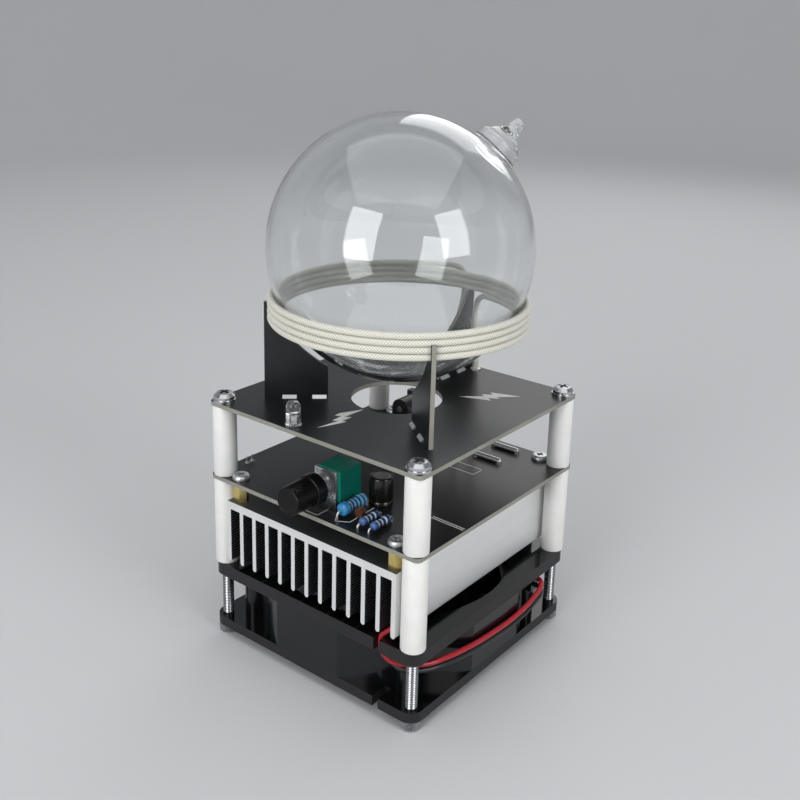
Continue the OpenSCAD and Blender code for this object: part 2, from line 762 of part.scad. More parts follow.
module transistor_screw() {
    color("#C4C6C9")
    translate([tran_x, tran_y + tran_body_l + tran_tab_l / 2, sink_top + pad_t + tran_tab_t]) {
        pan_head(tran_head_d, small_head_h, 0.6 * tran_head_d);
        translate([0, 0, -pad_t - tran_tab_t - sink_base_t])
            cylinder(d = small_d, h = pad_t + tran_tab_t + sink_base_t + eps);
    }
}

module pot_bracket() {
    color("#BFC2C5")
    difference() {
        translate([pot_x - pot_plate_w / 2 + 0.3, pot_face_y - pot_plate_t, z_post2])
            cube([pot_plate_w, pot_plate_t, pot_axis_h + pot_plate_h / 2]);
        translate([pot_x, pot_face_y + 1, pot_z]) rotate([90, 0, 0])
            cylinder(d = bushing_d + 2 * press_gap, h = pot_plate_t + 2);
    }
}

module pot_body() {
    color("#0F8A72")
    difference() {
        translate([pot_body_x - pot_w / 2, pot_face_y, z_post2 + pot_body_lift])
            cube([pot_w, pot_depth, pot_h]);
        translate([pot_x, pot_face_y + pot_shaft_in + 0.5, pot_z]) rotate([90, 0, 0])
            cylinder(r = pot_shaft_d / 2 + 0.3, h = pot_shaft_in + 2);
    }
}

module pot_bushing() {
    color("#C9CCCF")
    translate([pot_x, pot_face_y, pot_z]) rotate([90, 0, 0]) difference() {
        cylinder(d = bushing_d, h = pot_plate_t + bushing_len);
        translate([0, 0, -1]) cylinder(r = pot_shaft_d / 2 + running_fit, h = pot_plate_t + bushing_len + 2);
    }
}

module pot_pins() {
    color("#C4C6C9")
    for (k = [-1, 0, 1])
        translate([pot_body_x + k * pot_w / 3.6 - pot_pin_w / 2, pot_face_y + pot_depth * 0.6, z_post2])
            cube([pot_pin_w, pot_pin_w, pot_body_lift]);
}

module pot_shaft() {
    color("#C9CBCE")
    translate([pot_x, pot_face_y + pot_shaft_in, pot_z]) rotate([90, 0, 0])
        cylinder(d = pot_shaft_d, h = pot_shaft_in + pot_plate_t + bushing_len + knob_gap + knob_bore_len);
}

module control_knob() {
    color("#1A1B1D")
    translate([pot_x, knob_back_y, pot_z]) rotate([90, 0, 0]) difference() {
        rotate_extrude() polygon([[0, 0], [knob_skirt_d / 2 - 0.4, 0], [knob_skirt_d / 2, 0.4],
            [knob_skirt_d / 2, knob_skirt_len], [knob_d / 2 + 0.6, knob_skirt_len + 0.8],
            [knob_d / 2, knob_len - 0.5], [knob_d / 2 - 0.5, knob_len], [0, knob_len]]);
        translate([0, 0, -1]) cylinder(r = pot_shaft_d / 2 + press_gap, h = knob_bore_len + 1 + press_gap);
    }
}

// an axial part along Y on the driver board, with its two bent leads
module axial_part(d, l, z) {
    translate([0, l / 2, z]) rotate([90, 0, 0]) cylinder(d = 0.86 * d, h = l);
    for (s = [-1, 1])
        translate([0, s * (l / 2 - 0.16 * l) + 0.16 * l, z]) rotate([90, 0, 0]) cylinder(d = d, h = 0.32 * l);
    for (s = [-1, 1]) {
        translate([0, s * (l / 2 + res_lead_run / 2 - eps) + res_lead_run / 2, z])
            rotate([90, 0, 0]) cylinder(d = lead_d, h = res_lead_run);
        translate([0, s * (l / 2 + res_lead_run - lead_d / 2), 0]) cylinder(d = lead_d, h = z + lead_d / 2);
    }
}

module power_resistor() {
    color("#8FB4D6") translate([power_res_x, power_res_y, z_post2])
        axial_part(power_res_d, power_res_len, power_res_z);
}

module small_resistors() {
    color("#2C4E8A")
    for (x = small_res_x)
        translate([x, small_res_y, z_post2]) axial_part(small_res_d, small_res_len, small_res_z);
}

module ceramic_capacitor() {
    color("#8A5B33")
    translate([cer_x, cer_y, z_post2]) {
        translate([0, cer_t / 2, cer_z]) rotate([90, 0, 0]) cylinder(d = cer_d, h = cer_t);
        for (s = [-1, 1])
            translate([s * cer_d * 0.28, 0, 0]) cylinder(d = 0.6, h = cer_z);
    }
}

module electrolytic_capacitor() {
    color("#202226") translate([elec_x, elec_y, z_post2]) cylinder(d = elec_d, h = elec_h);
}

module wire_links() {
    color("#D2D4D6")
    for (y = link_y) {
        translate([link_x[0], y, z_post2 + link_lift + link_d / 2]) rotate([0, 90, 0])
            cylinder(d = link_d, h = link_x[1] - link_x[0]);
        for (x = link_x)
            translate([x, y, z_post2]) cylinder(d = link_d, h = link_lift + link_d / 2);
        for (x = link_x)
            translate([x, y, z_post2 + link_lift + link_d / 2]) sphere(d = link_d);
    }
}

module edge_pins() {
    color("#D2D4D6")
    for (y = pin_y)
        translate([pin_x, y, z_post2]) {
            translate([-pin_w / 2, -pin_w / 2, 0]) cube([pin_w, pin_w, pin_rise]);
            cylinder(d1 = pin_solder_d, d2 = pin_w, h = pin_solder_h);
        }
}

// the power inlet: a square flange at the board edge and a round-backed barrel behind it
module dc_inlet() {
    color("#1B1C1F")
    translate([inlet_x, half_w + inlet_out, z_post2]) difference() {
        union() {
            translate([-inlet_w / 2, -inlet_flange_t, 0]) cube([inlet_w, inlet_flange_t, inlet_h]);
            translate([-inlet_barrel_r, -inlet_l, 0])
                cube([2 * inlet_barrel_r, inlet_l - inlet_flange_t + eps, inlet_axis_h]);
            translate([0, -inlet_flange_t + eps, inlet_axis_h]) rotate([90, 0, 0])
                cylinder(r = inlet_barrel_r, h = inlet_l - inlet_flange_t + eps);
        }
        translate([0, 1, inlet_axis_h]) rotate([90, 0, 0]) cylinder(d = inlet_bore_d, h = inlet_bore_l + 1);
        translate([0, 1, inlet_axis_h]) rotate([90, 0, 0])
            cylinder(r = inlet_pin_d / 2 + press_gap, h = inlet_l + 2);
    }
}

// the centre pin of the inlet, riveted over at the back of the barrel
module inlet_pin() {
    color("#C9CBCE")
    translate([inlet_x, half_w + inlet_out, z_post2 + inlet_axis_h]) rotate([90, 0, 0]) {
        translate([0, 0, inlet_pin_set]) cylinder(d = inlet_pin_d, h = inlet_l - inlet_pin_set + eps);
        translate([0, 0, inlet_l]) cylinder(d = rivet_d, h = rivet_t);
    }
}

module fan_connector() {
    color("#1B1C1F")
    translate([conn_x - conn_w / 2, conn_y - conn_l / 2, z_board1 - conn_h]) cube([conn_w, conn_l, conn_h]);
}

module fan_lead(p) {
    path = smooth_path(p);
    tube(path, fan_lead_d / 2, fan_lead_sides, [for (q = path) [0.62, -0.5, 0.6]]);
}

module fan_lead_red() {
    color("#B5232B") fan_lead(red_points);
}

module fan_lead_black() {
    color("#1C1C1E") fan_lead(black_points);
}

module top_board() {
    color("#1B1C1E")
    translate([0, 0, z_board2]) difference() {
        linear_extrude(board_t) round_square(board_w, board_corner_r);
        translate([0, 0, -1]) cylinder(d = top_hole_d, h = board_t + 2);
        translate([0, 0, -1]) at_corners(bolt_xy, bolt_xy)
            cylinder(r = bolt_d / 2 + bolt_fit, h = board_t + 2);
        for (a = cradle_angles, r = tenon_r)
            rotate(a) translate([r - tenon_w / 2 - slot_fit, -board_t / 2 - slot_fit, -1])
                cube([tenon_w + 2 * slot_fit, board_t + 2 * slot_fit, board_t + 2]);
        for (s = [-1, 1])
            translate([s * terminal_x, terminal_y, -1])
                cylinder(d = terminal_stem_d + 2 * slot_fit, h = board_t + 2);
        for (s = [-1, 1])
            translate([led_x + s * led_pitch / 2, led_y, -1])
                cylinder(r = led_lead_w / sqrt(2) + lead_hole_fit, h = board_t + 2);
    }
}

module top_washers() {
    color("#D0D2D4")
    translate([0, 0, z_deck]) at_corners(bolt_xy, bolt_xy) difference() {
        cylinder(d = washer_d, h = washer_t);
        translate([0, 0, -1]) cylinder(r = bolt_d / 2 + bolt_fit, h = washer_t + 2);
    }
}

module top_screws() {
    color("#C4C6C9")
    translate([0, 0, z_deck + washer_t]) at_corners(bolt_xy, bolt_xy) {
        pan_head(top_head_d, top_head_h, 0.55 * top_head_d);
        translate([0, 0, -washer_t - board_t - thread_len])
            cylinder(d = bolt_d, h = thread_len + board_t + washer_t + eps);
    }
}

module indicator_led() {
    color("#E8ECEE", 0.6)
    translate([led_x, led_y, z_deck + led_lift]) {
        cylinder(d = led_flange_d, h = led_flange_t);
        cylinder(d = led_d, h = led_h - led_d / 2);
        translate([0, 0, led_h - led_d / 2]) sphere(d = led_d);
    }
}

module led_leads() {
    color("#D2D4D6")
    for (s = [-1, 1])
        translate([led_x + s * led_pitch / 2 - led_lead_w / 2, led_y - led_lead_w / 2,
            z_board2 - led_lead_tail])
            cube([led_lead_w, led_lead_w, led_lead_tail + board_t + led_lift]);
}

// a cradle plate in its own plane: radius across, height over the board up
module cradle_outline(floor_z) {
    difference() {
        translate([cradle_in_r, 0]) square([cradle_out_r - cradle_in_r, floor_z + finger_h]);
        translate([0, bulb_gap + bulb_r]) circle(r = cradle_arc_r, $fn = 128);
        translate([cradle_in_r - 1, floor_z])
            square([cradle_out_r - finger_w - cradle_in_r + 1, finger_h + 1]);
    }
    for (r = tenon_r)
        translate([r - tenon_w / 2, -board_t]) square([tenon_w, board_t + eps]);
}

module cradle(a) {
    color("#1B1C1E")
    rotate(a) translate([0, board_t / 2, z_deck]) rotate([90, 0, 0])
        linear_extrude(board_t) cradle_outline(notch_floor(a));
}

module cradle_left() {
    cradle(cradle_angles[0]);
}

module cradle_front() {
    cradle(cradle_angles[1]);
}

module cradle_back() {
    cradle(cradle_angles[2]);
}

module solder_tabs() {
    color("#D2D4D6")
    for (a = cradle_angles, r = tenon_r, s = [0, 1])
        rotate(a) translate([r, 0, z_deck]) mirror([0, s, 0])
            translate([-tenon_w / 2, board_t / 2, 0]) rotate([90, 0, 90])
            linear_extrude(tenon_w) polygon([[0, 0], [fillet_leg, 0], [0, fillet_leg]]);
}

module winding_terminals() {
    color("#D2D4D6")
    for (s = [-1, 1])
        translate([s * terminal_x, terminal_y, 0]) {
            translate([0, 0, z_deck]) cylinder(d = terminal_d, h = terminal_t);
            translate([0, 0, z_board2 - terminal_t])
                cylinder(d = terminal_stem_d, h = board_t + terminal_t + eps);
        }
}

module feed_wires() {
    color("#B8764A")
    for (s = [-1, 1])
        translate([s * terminal_x, terminal_y, z_post2])
            cylinder(d = feed_d, h = upper_post_h - terminal_t);
}

module induction_winding() {
    color("#EFE9DA")
    tube(winding_path, wire_r, wire_sides, [for (q = winding_path) [q[0], q[1], 0]]);
}

module glass_bulb() {
    color("#DDE6EA", 0.35)
    translate([0, 0, z_bulb]) rotate([0, 0, tip_turn]) rotate([0, tip_tilt, 0])
        difference() {
            union() {
                sphere(bulb_r, $fn = 128);
                rotate_extrude() polygon(concat([[0, tip_collar_at - 3], [tip_collar_r, tip_collar_at - 3]],
                    tip_points, [[0, tip_end_at - tip_ball_r]]));
                translate([0, 0, tip_end_at - tip_ball_r]) sphere(tip_ball_r);
            }
            sphere(bulb_r - bulb_wall, $fn = 128);
        }
}

foot_bolts();
bottom_plate();
fan_frame();
fan_bearing();
fan_stator();
fan_rotor();
fan_magnet();
fan_shaft();
upper_plate();
lower_posts();
heat_sink();
brass_standoffs();
standoff_screws();
driver_board();
post_studs();
upper_posts();
power_transistor();
transistor_pad();
transistor_screw();
pot_bracket();
pot_body();
pot_bushing();
pot_pins();
pot_shaft();
control_knob();
power_resistor();
small_resistors();
ceramic_capacitor();
electrolytic_capacitor();
wire_links();
edge_pins();
dc_inlet();
inlet_pin();
fan_connector();
fan_lead_red();
fan_lead_black();
top_board();
top_washers();
top_screws();
indicator_led();
led_leads();
cradle_left();
cradle_front();
cradle_back();
solder_tabs();
winding_terminals();
feed_wires();
induction_winding();
glass_bulb();
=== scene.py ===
"""Plasma ring lamp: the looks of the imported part, laid out as a Blender add-on.

The CAD nodes are the fixed frame. Each operator below makes one group of pieces
or gives CAD nodes their finish, and the last one sets the stage.
"""

import math

import bpy
from mathutils import Euler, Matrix
from mathutils import Vector


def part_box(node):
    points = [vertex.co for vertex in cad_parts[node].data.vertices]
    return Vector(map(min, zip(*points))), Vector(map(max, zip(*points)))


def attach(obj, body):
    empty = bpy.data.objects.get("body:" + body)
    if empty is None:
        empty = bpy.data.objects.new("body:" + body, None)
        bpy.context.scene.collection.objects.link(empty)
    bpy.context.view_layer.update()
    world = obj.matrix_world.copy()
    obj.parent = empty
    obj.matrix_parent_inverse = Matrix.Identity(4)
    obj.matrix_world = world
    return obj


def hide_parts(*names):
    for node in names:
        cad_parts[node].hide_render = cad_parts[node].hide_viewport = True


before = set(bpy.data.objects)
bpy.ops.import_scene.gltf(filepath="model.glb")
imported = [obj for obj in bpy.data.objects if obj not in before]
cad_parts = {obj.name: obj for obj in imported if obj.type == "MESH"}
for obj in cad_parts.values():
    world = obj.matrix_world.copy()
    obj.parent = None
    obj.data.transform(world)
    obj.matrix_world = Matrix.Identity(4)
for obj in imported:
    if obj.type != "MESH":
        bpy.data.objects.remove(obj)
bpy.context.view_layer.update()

bl_info = {
    "name": "Plasma Ring Lamp",
    "version": (1, 0, 0),
    "blender": (4, 5, 0),
    "location": "View3D > Sidebar > Plasma Lamp",
    "description": "Finishes, wires, glass and stage for a plasma ring lamp",
    "category": "Object",
}

MM = 0.001
STACK = "stack"


def linear(code):
    """Turns an sRGB hex value into linear red, green, blue and alpha."""
    parts = [int(code[i:i + 2], 16) / 255 for i in (1, 3, 5)]
    return tuple(c / 12.92 if c <= 0.04045 else ((c + 0.055) / 1.055) ** 2.4 for c in parts) + (1.0,)


# Sizes repeated from the part's source, in metres.
DECK_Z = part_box("top_board")[1].z
LOWER_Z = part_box("driver_board")[1].z
POST_R = 4.5 * MM
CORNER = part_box("lower_posts")[1].x - POST_R
BOLT_R = 2.0 * MM
BULB_R = 49.3 * MM
BULB_Z = DECK_Z + 58.5 * MM
TIP_TILT = math.radians(44.5)
TIP_TURN = math.radians(54.8)
TIP_AXIS = Vector((math.sin(TIP_TILT) * math.cos(TIP_TURN), math.sin(TIP_TILT) * math.sin(TIP_TURN),
                   math.cos(TIP_TILT)))
WINDING_R = 47.6 * MM
WINDING_L = 1260.0 * MM
LOOP_STEP = 2.51 * MM
LOOPS = 4
LEAD_X = 4.3 * MM
LEAD_Y = 46.5 * MM
LEAD_FOOT = DECK_Z + 0.5 * MM
# The middle of the top loop's wire is this far from the bulb's centre.
SEAT_R = BULB_R + 1.325 * MM
WINDING_TOP = BULB_Z - math.sqrt(SEAT_R ** 2 - WINDING_R ** 2)
CONTROL_X = 2.2 * MM
CONTROL_Z = LOWER_Z + 9.5 * MM
# Fin faces nearer the middle than this are ribbed and carry painted shade.
INNER_FINS = 40.8 * MM

# A wave texture of scale 1 repeats once in this many metres.
WAVE = 0.314
# A face lies across an axis when this much of its normal points along it.
ALONG = 0.7
# Strands of the braid along the wire and round it, coarser than real so that they show.
BRAID_STEP = 1.05 * MM
BRAID_STRANDS = 7
# The satin band of the glass, measured along the tip from the bulb's centre.
SATIN = (48.7 * MM, 53.7 * MM)
SATIN_ROUGH = 0.3
# Edges sharper than this many degrees stay sharp.
SHARP = 35
# A dressing stands this far off the solid under it.
PROUD = 0.01 * MM


class LampSizes(bpy.types.PropertyGroup):
    """Sizes that only the looks use."""

    braid_d: bpy.props.FloatProperty(
        name="Braided wire",
        description="Outer diameter of the braided winding wire",
        default=2.45 * MM,
        unit="LENGTH",
    )
    glass_wall: bpy.props.FloatProperty(
        name="Glass wall",
        description="Wall thickness of the bulb",
        default=1.5 * MM,
        unit="LENGTH",
    )
    fan_lead_d: bpy.props.FloatProperty(
        name="Fan lead",
        description="Outer diameter of the fan leads",
        default=2.0 * MM,
        unit="LENGTH",
    )
    post_edge: bpy.props.FloatProperty(
        name="Post edge",
        description="Rounding of the nylon post ends",
        default=0.35 * MM,
        unit="LENGTH",
    )
    thread_pitch: bpy.props.FloatProperty(
        name="Thread pitch",
        description="Spacing of the rolled thread on the foot bolts",
        default=0.7 * MM,
        unit="LENGTH",
    )
    ink_t: bpy.props.FloatProperty(
        name="Ink",
        description="Thickness of the printed marks on the boards",
        default=0.04 * MM,
        unit="LENGTH",
    )


class LampColours(bpy.types.PropertyGroup):
    """Colours that a user would change."""

    nylon: bpy.props.FloatVectorProperty(
        name="Posts",
        description="Natural white nylon",
        default=linear("#EBEBE8"),
        size=4,
        subtype="COLOR",
    )
    mask: bpy.props.FloatVectorProperty(
        name="Boards",
        description="Black solder mask",
        default=linear("#141517"),
        size=4,
        subtype="COLOR",
    )
    acrylic: bpy.props.FloatVectorProperty(
        name="Plates",
        description="Black cast acrylic",
        default=linear("#0A0B0C"),
        size=4,
        subtype="COLOR",
    )
    case: bpy.props.FloatVectorProperty(
        name="Control body",
        description="Moulded body of the potentiometer",
        default=linear("#0A7665"),
        size=4,
        subtype="COLOR",
    )
    red_lead: bpy.props.FloatVectorProperty(
        name="Red lead",
        description="Insulation of the supply lead of the fan",
        default=linear("#A5212D"),
        size=4,
        subtype="COLOR",
    )
    floor: bpy.props.FloatVectorProperty(
        name="Floor",
        description="Plain pale studio paper",
        default=linear("#C4C5C7"),
        size=4,
        subtype="COLOR",
    )


def add_node(tree, kind, links=None, stops=None, **settings):
    """Adds a node with its settings; links maps a socket to a value, a node or a node's output."""
    made = tree.nodes.new(kind)
    for key, value in settings.items():
        setattr(made, key, value)
    for socket, value in (links or {}).items():
        if isinstance(value, bpy.types.Node):
            value = value.outputs[0]
        if isinstance(value, bpy.types.NodeSocket):
            tree.links.new(value, made.inputs[socket])
        else:
            made.inputs[socket].default_value = value
    if stops:
        ramp = made.color_ramp.elements
        while len(ramp) < len(stops):
            ramp.new(0.5)
        for element, (place, colour) in zip(ramp, stops):
            element.position = place
            element.color = colour
    return made


def new_material(name, **sockets):
    """A material with its Principled shader's sockets set, and its node tree and shader."""
    made = bpy.data.materials.new(name)
    made.use_nodes = True
    shader = made.node_tree.nodes["Principled BSDF"]
    for key, value in sockets.items():
        shader.inputs[key.replace("_", " ")].default_value = value
    return made, made.node_tree, shader


def object_coords(tree):
    """The piece's own coordinates, in metres."""
    return add_node(tree, "ShaderNodeTexCoord").outputs["Object"]


def feed(tree, shader, socket, node):
    """Links a node's first output to a socket of the shader."""
    tree.links.new(node.outputs[0], shader.inputs[socket])


def relief(tree, shader, height, depth, strength=1.0):
    """Links a height to the shader as a bump that is so many metres deep."""
    bump = add_node(tree, "ShaderNodeBump", {"Height": height, "Distance": depth, "Strength": strength})
    feed(tree, shader, "Normal", bump)


def mottled(tree, shader, size, dark, light, roughness=None):
    """Fine cloudy variation of colour, and of roughness if a range is given."""
    cloud = add_node(tree, "ShaderNodeTexNoise", {"Vector": object_coords(tree), "Scale": 1 / size,
                                                  "Detail": 4.0}).outputs["Fac"]
    ramp = add_node(tree, "ShaderNodeValToRGB", {"Fac": cloud}, stops=[(0.3, dark), (0.7, light)])
    feed(tree, shader, "Base Color", ramp)
    if roughness:
        span = add_node(tree, "ShaderNodeMapRange", {"Value": cloud, "To Min": roughness[0],
                                                     "To Max": roughness[1]})
        feed(tree, shader, "Roughness", span)
    return cloud


def shade(colour, factor):
    """A colour made darker or lighter."""
    return tuple(c * factor for c in colour[:3]) + (1.0,)


def nylon_material(colour):
    """Turned natural nylon: soft white with a slight glow and very fine turning rings."""
    made, tree, shader = new_material("turned_nylon", Roughness=0.42, Subsurface_Weight=0.12,
                                      Subsurface_Scale=0.002)
    mottled(tree, shader, 6 * MM, shade(colour, 0.95), colour, (0.38, 0.5))
    rings = add_node(tree, "ShaderNodeTexWave", {"Vector": object_coords(tree), "Scale": WAVE / (0.8 * MM),
                                                 "Distortion": 1.5, "Detail": 1.0}, bands_direction="Z")
    relief(tree, shader, rings.outputs["Fac"], 0.02 * MM)
    return made


def sheet_material(name, face, edge, face_rough, edge_rough, normal, mottle):
    """A flat sheet: glossy faces along a normal, and bare matt edges round it."""
    made, tree, shader = new_material(name)
    side = add_node(tree, "ShaderNodeTexCoord").outputs["Normal"]
    facing = add_node(tree, "ShaderNodeVectorMath", {0: side, 1: normal}, operation="DOT_PRODUCT")
    flat = add_node(tree, "ShaderNodeMath", {0: facing.outputs["Value"]}, operation="ABSOLUTE")
    mask = add_node(tree, "ShaderNodeMath", {0: flat, 1: ALONG}, operation="GREATER_THAN")
    grain = add_node(tree, "ShaderNodeTexNoise", {"Vector": object_coords(tree), "Scale": 1 / mottle,
                                                  "Detail": 5.0}).outputs["Fac"]
    faces = add_node(tree, "ShaderNodeValToRGB", {"Fac": grain},
                     stops=[(0.35, shade(face, 0.75)), (0.7, shade(face, 1.2))])
    edges = add_node(tree, "ShaderNodeValToRGB", {"Fac": grain},
                     stops=[(0.3, shade(edge, 0.8)), (0.7, edge)])
    colour = add_node(tree, "ShaderNodeMixRGB", {"Fac": mask, "Color1": edges, "Color2": faces})
    feed(tree, shader, "Base Color", colour)
    rough = add_node(tree, "ShaderNodeMapRange", {"Value": mask, "To Min": edge_rough, "To Max": face_rough})
    feed(tree, shader, "Roughness", rough)
    relief(tree, shader, grain, 0.01 * MM, 0.5)
    return made


def metal_material(name, code, rough, grain, depth):
    """Plain metal with fine cloudy grain and uneven polish."""
    colour = linear(code)
    made, tree, shader = new_material(name, Metallic=1.0, Roughness=rough)
    height = mottled(tree, shader, grain, shade(colour, 0.86), colour, (0.8 * rough, 1.25 * rough))
    relief(tree, shader, height, depth)
    return made


def moulded_material(name, code, rough, grain, depth, gloss=0.5):
    """Moulded plastic with a fine mould grain."""
    colour = linear(code) if isinstance(code, str) else tuple(code)
    made, tree, shader = new_material(name, Roughness=rough, Specular_IOR_Level=gloss)
    height = mottled(tree, shader, grain, shade(colour, 0.9), shade(colour, 1.05),
                     (0.85 * rough, 1.15 * rough))
    relief(tree, shader, height, depth)
    return made


def aluminium_material():
    """Blasted aluminium extrusion: satin white faces, ribbed inner fin sides coloured dark grey as painted
    shade, and a milled top face darkened with painted shade.
    """
    made, tree, shader = new_material("extruded_aluminium", Metallic=0.8)
    coords = object_coords(tree)
    # Drawn lines 1.2 mm apart follow the extrusion, and the ribs on the fin sides are 1.1 mm apart.
    stretch = add_node(tree, "ShaderNodeMapping", {"Vector": coords, "Scale": (1.0, 0.02, 1.0)})
    lines = add_node(tree, "ShaderNodeTexNoise", {"Vector": stretch, "Scale": 1 / (1.2 * MM), "Detail": 3.0})
    ramp = add_node(tree, "ShaderNodeValToRGB", {"Fac": lines.outputs["Fac"]},
                    stops=[(0.25, linear("#EFF0F0")), (0.75, linear("#F5F5F5"))])
    ribs = add_node(tree, "ShaderNodeTexWave", {"Vector": coords, "Scale": WAVE / (1.1 * MM)},
                    bands_direction="Z", wave_profile="TRI").outputs["Fac"]
    place = add_node(tree, "ShaderNodeSeparateXYZ", {"Vector": coords})
    across = add_node(tree, "ShaderNodeMath", {0: place.outputs["X"]}, operation="ABSOLUTE")
    inner = add_node(tree, "ShaderNodeMath", {0: across, 1: INNER_FINS}, operation="LESS_THAN")
    side = add_node(tree, "ShaderNodeTexCoord").outputs["Normal"]
    turn = add_node(tree, "ShaderNodeSeparateXYZ", {"Vector": side})
    face = add_node(tree, "ShaderNodeMath", {0: turn.outputs["X"]}, operation="ABSOLUTE")
    fin = add_node(tree, "ShaderNodeMath", {0: face, 1: ALONG}, operation="GREATER_THAN")
    ribbed_shaded_fins = add_node(tree, "ShaderNodeMath", {0: inner, 1: fin}, operation="MULTIPLY")
    # Painted shade: the inner fin sides are coloured dark grey for the shadow between the fins, darkest in
    # the rib grooves.
    painted_fin_shade = add_node(tree, "ShaderNodeValToRGB", {"Fac": ribs},
                       stops=[(0.2, linear("#1C1D1E")), (0.85, linear("#75777A"))])
    sides = add_node(tree, "ShaderNodeMixRGB", {"Fac": ribbed_shaded_fins, "Color1": ramp, "Color2": painted_fin_shade})
    # Painted shade: faces that point up, the top of the base under the board, are coloured darker grey.
    upward = add_node(tree, "ShaderNodeMath", {0: turn.outputs["Z"], 1: ALONG}, operation="GREATER_THAN")
    faces = add_node(tree, "ShaderNodeMixRGB", {"Fac": upward, "Color1": sides, "Color2": linear("#6F7173")})
    feed(tree, shader, "Base Color", faces)
    rough = add_node(tree, "ShaderNodeMapRange", {"Value": upward, "To Min": 0.5, "To Max": 0.3})
    feed(tree, shader, "Roughness", rough)
    height = add_node(tree, "ShaderNodeMath", {0: ribs, 1: ribbed_shaded_fins}, operation="MULTIPLY")
    relief(tree, shader, height, 0.35 * MM)
    return made


def braid_material():
    """Glass-fibre sleeve: two sets of pale strands that cross, with shaded gaps between them."""
    made, tree, shader = new_material("glass_fibre_braid", Roughness=0.62, Sheen_Weight=0.2)
    uv = add_node(tree, "ShaderNodeTexCoord").outputs["UV"]
    place = add_node(tree, "ShaderNodeSeparateXYZ", {"Vector": uv})
    along = add_node(tree, "ShaderNodeMath", {0: place.outputs["X"], 1: WINDING_L / BRAID_STEP * math.tau},
                     operation="MULTIPLY")
    around = add_node(tree, "ShaderNodeMath", {0: place.outputs["Y"], 1: BRAID_STRANDS * math.tau},
                      operation="MULTIPLY")
    strands = []
    for way in ("ADD", "SUBTRACT"):
        mixed = add_node(tree, "ShaderNodeMath", {0: along, 1: around}, operation=way)
        strands.append(add_node(tree, "ShaderNodeMath", {0: mixed}, operation="SINE"))
    weave = add_node(tree, "ShaderNodeMath", {0: strands[0], 1: strands[1]}, operation="MAXIMUM")
    level = add_node(tree, "ShaderNodeMapRange", {"Value": weave, "From Min": -1.0})
    ramp = add_node(tree, "ShaderNodeValToRGB", {"Fac": level},
                    stops=[(0.2, linear("#ABA999")), (0.55, linear("#DFDDCF")), (0.95, linear("#EEEDE2"))])
    feed(tree, shader, "Base Color", ramp)
    relief(tree, shader, level, 0.2 * MM)
    return made


def glass_material():
    """Blown borosilicate glass: clear, faintly wavy from the blowing, satin round the tip's foot."""
    made, tree, shader = new_material("blown_glass", IOR=1.47, Transmission_Weight=1.0,
                                      Base_Color=linear("#FBFDFD"))
    coords = object_coords(tree)
    wave = add_node(tree, "ShaderNodeTexNoise", {"Vector": coords, "Scale": 1 / (35 * MM)})
    relief(tree, shader, wave.outputs["Fac"], 0.12 * MM)
    offset = add_node(tree, "ShaderNodeVectorMath", {0: coords, 1: (0, 0, BULB_Z)}, operation="SUBTRACT")
    along = add_node(tree, "ShaderNodeVectorMath", {0: offset, 1: TIP_AXIS}, operation="DOT_PRODUCT")
    level = add_node(tree, "ShaderNodeMapRange", {"Value": along.outputs["Value"], "From Min": SATIN[0],
                                                  "From Max": SATIN[1]})
    clear = (0, 0, 0, 1)
    dull = (SATIN_ROUGH, SATIN_ROUGH, SATIN_ROUGH, 1)
    satin = add_node(tree, "ShaderNodeValToRGB", {"Fac": level},
                     stops=[(0.0, clear), (0.12, dull), (0.7, dull), (0.82, clear)])
    feed(tree, shader, "Roughness", satin)
    return made


def epoxy_material():
    """Clear cast epoxy of an indicator lens."""
    made, tree, shader = new_material("clear_epoxy", Roughness=0.02, IOR=1.54, Transmission_Weight=0.97)
    mottled(tree, shader, 3 * MM, linear("#E9EEF0"), linear("#F6F8F8"))
    return made


def banded_material(name, body, cap, bands, centre, length, rough, reach=1.4, cap_at=0.33):
    """Enamelled film resistor: colour rings along Y, on a ramp that reaches past both ends."""
    made, tree, shader = new_material(name, Roughness=rough, Coat_Weight=0.5)
    place = add_node(tree, "ShaderNodeSeparateXYZ", {"Vector": object_coords(tree)})
    span = reach * length
    low = centre - span / 2
    level = add_node(tree, "ShaderNodeMapRange", {"Value": place.outputs["Y"], "From Min": low * MM,
                                                  "From Max": (low + span) * MM})
    stops = [(0.0, linear(cap)), (0.5 - cap_at * length / span, linear(body))]
    for at, wide, code in bands:
        stops.append((0.5 + (at - wide / 2) / span, linear(code)))
        stops.append((0.5 + (at + wide / 2) / span, linear(body)))
    ramp = add_node(tree, "ShaderNodeValToRGB", {"Fac": level}, stops=stops)
    ramp.color_ramp.interpolation = "CONSTANT"
    grain = add_node(tree, "ShaderNodeTexNoise", {"Vector": object_coords(tree),
                                                  "Scale": 1 / (0.7 * MM)}).outputs["Fac"]
    tone = add_node(tree, "ShaderNodeMapRange", {"Value": grain, "To Min": 0.86, "To Max": 1.08})
    mixed = add_node(tree, "ShaderNodeVectorMath", {0: ramp, "Scale": tone}, operation="SCALE")
    feed(tree, shader, "Base Color", mixed)
    relief(tree, shader, grain, 0.03 * MM)
    return made


def clear_selection():
    """Goes back to object mode with nothing selected."""
    if bpy.context.object and bpy.context.object.mode != "OBJECT":
        bpy.ops.object.mode_set(mode="OBJECT")
    bpy.ops.object.select_all(action="DESELECT")


def activate(piece):
    """Selects one piece alone."""
    clear_selection()
    piece.select_set(True)
    bpy.context.view_layer.objects.active = piece


def edit_all():
    """Opens the active piece in edit mode with all of it selected."""
    bpy.ops.object.mode_set(mode="EDIT")
    bpy.ops.mesh.select_all(action="SELECT")


def close_up(inside=False):
    """Turns all faces outwards, or inwards, and leaves edit mode."""
    bpy.ops.mesh.select_all(action="SELECT")
    bpy.ops.mesh.normals_make_consistent(inside=inside)
    bpy.ops.object.mode_set(mode="OBJECT")


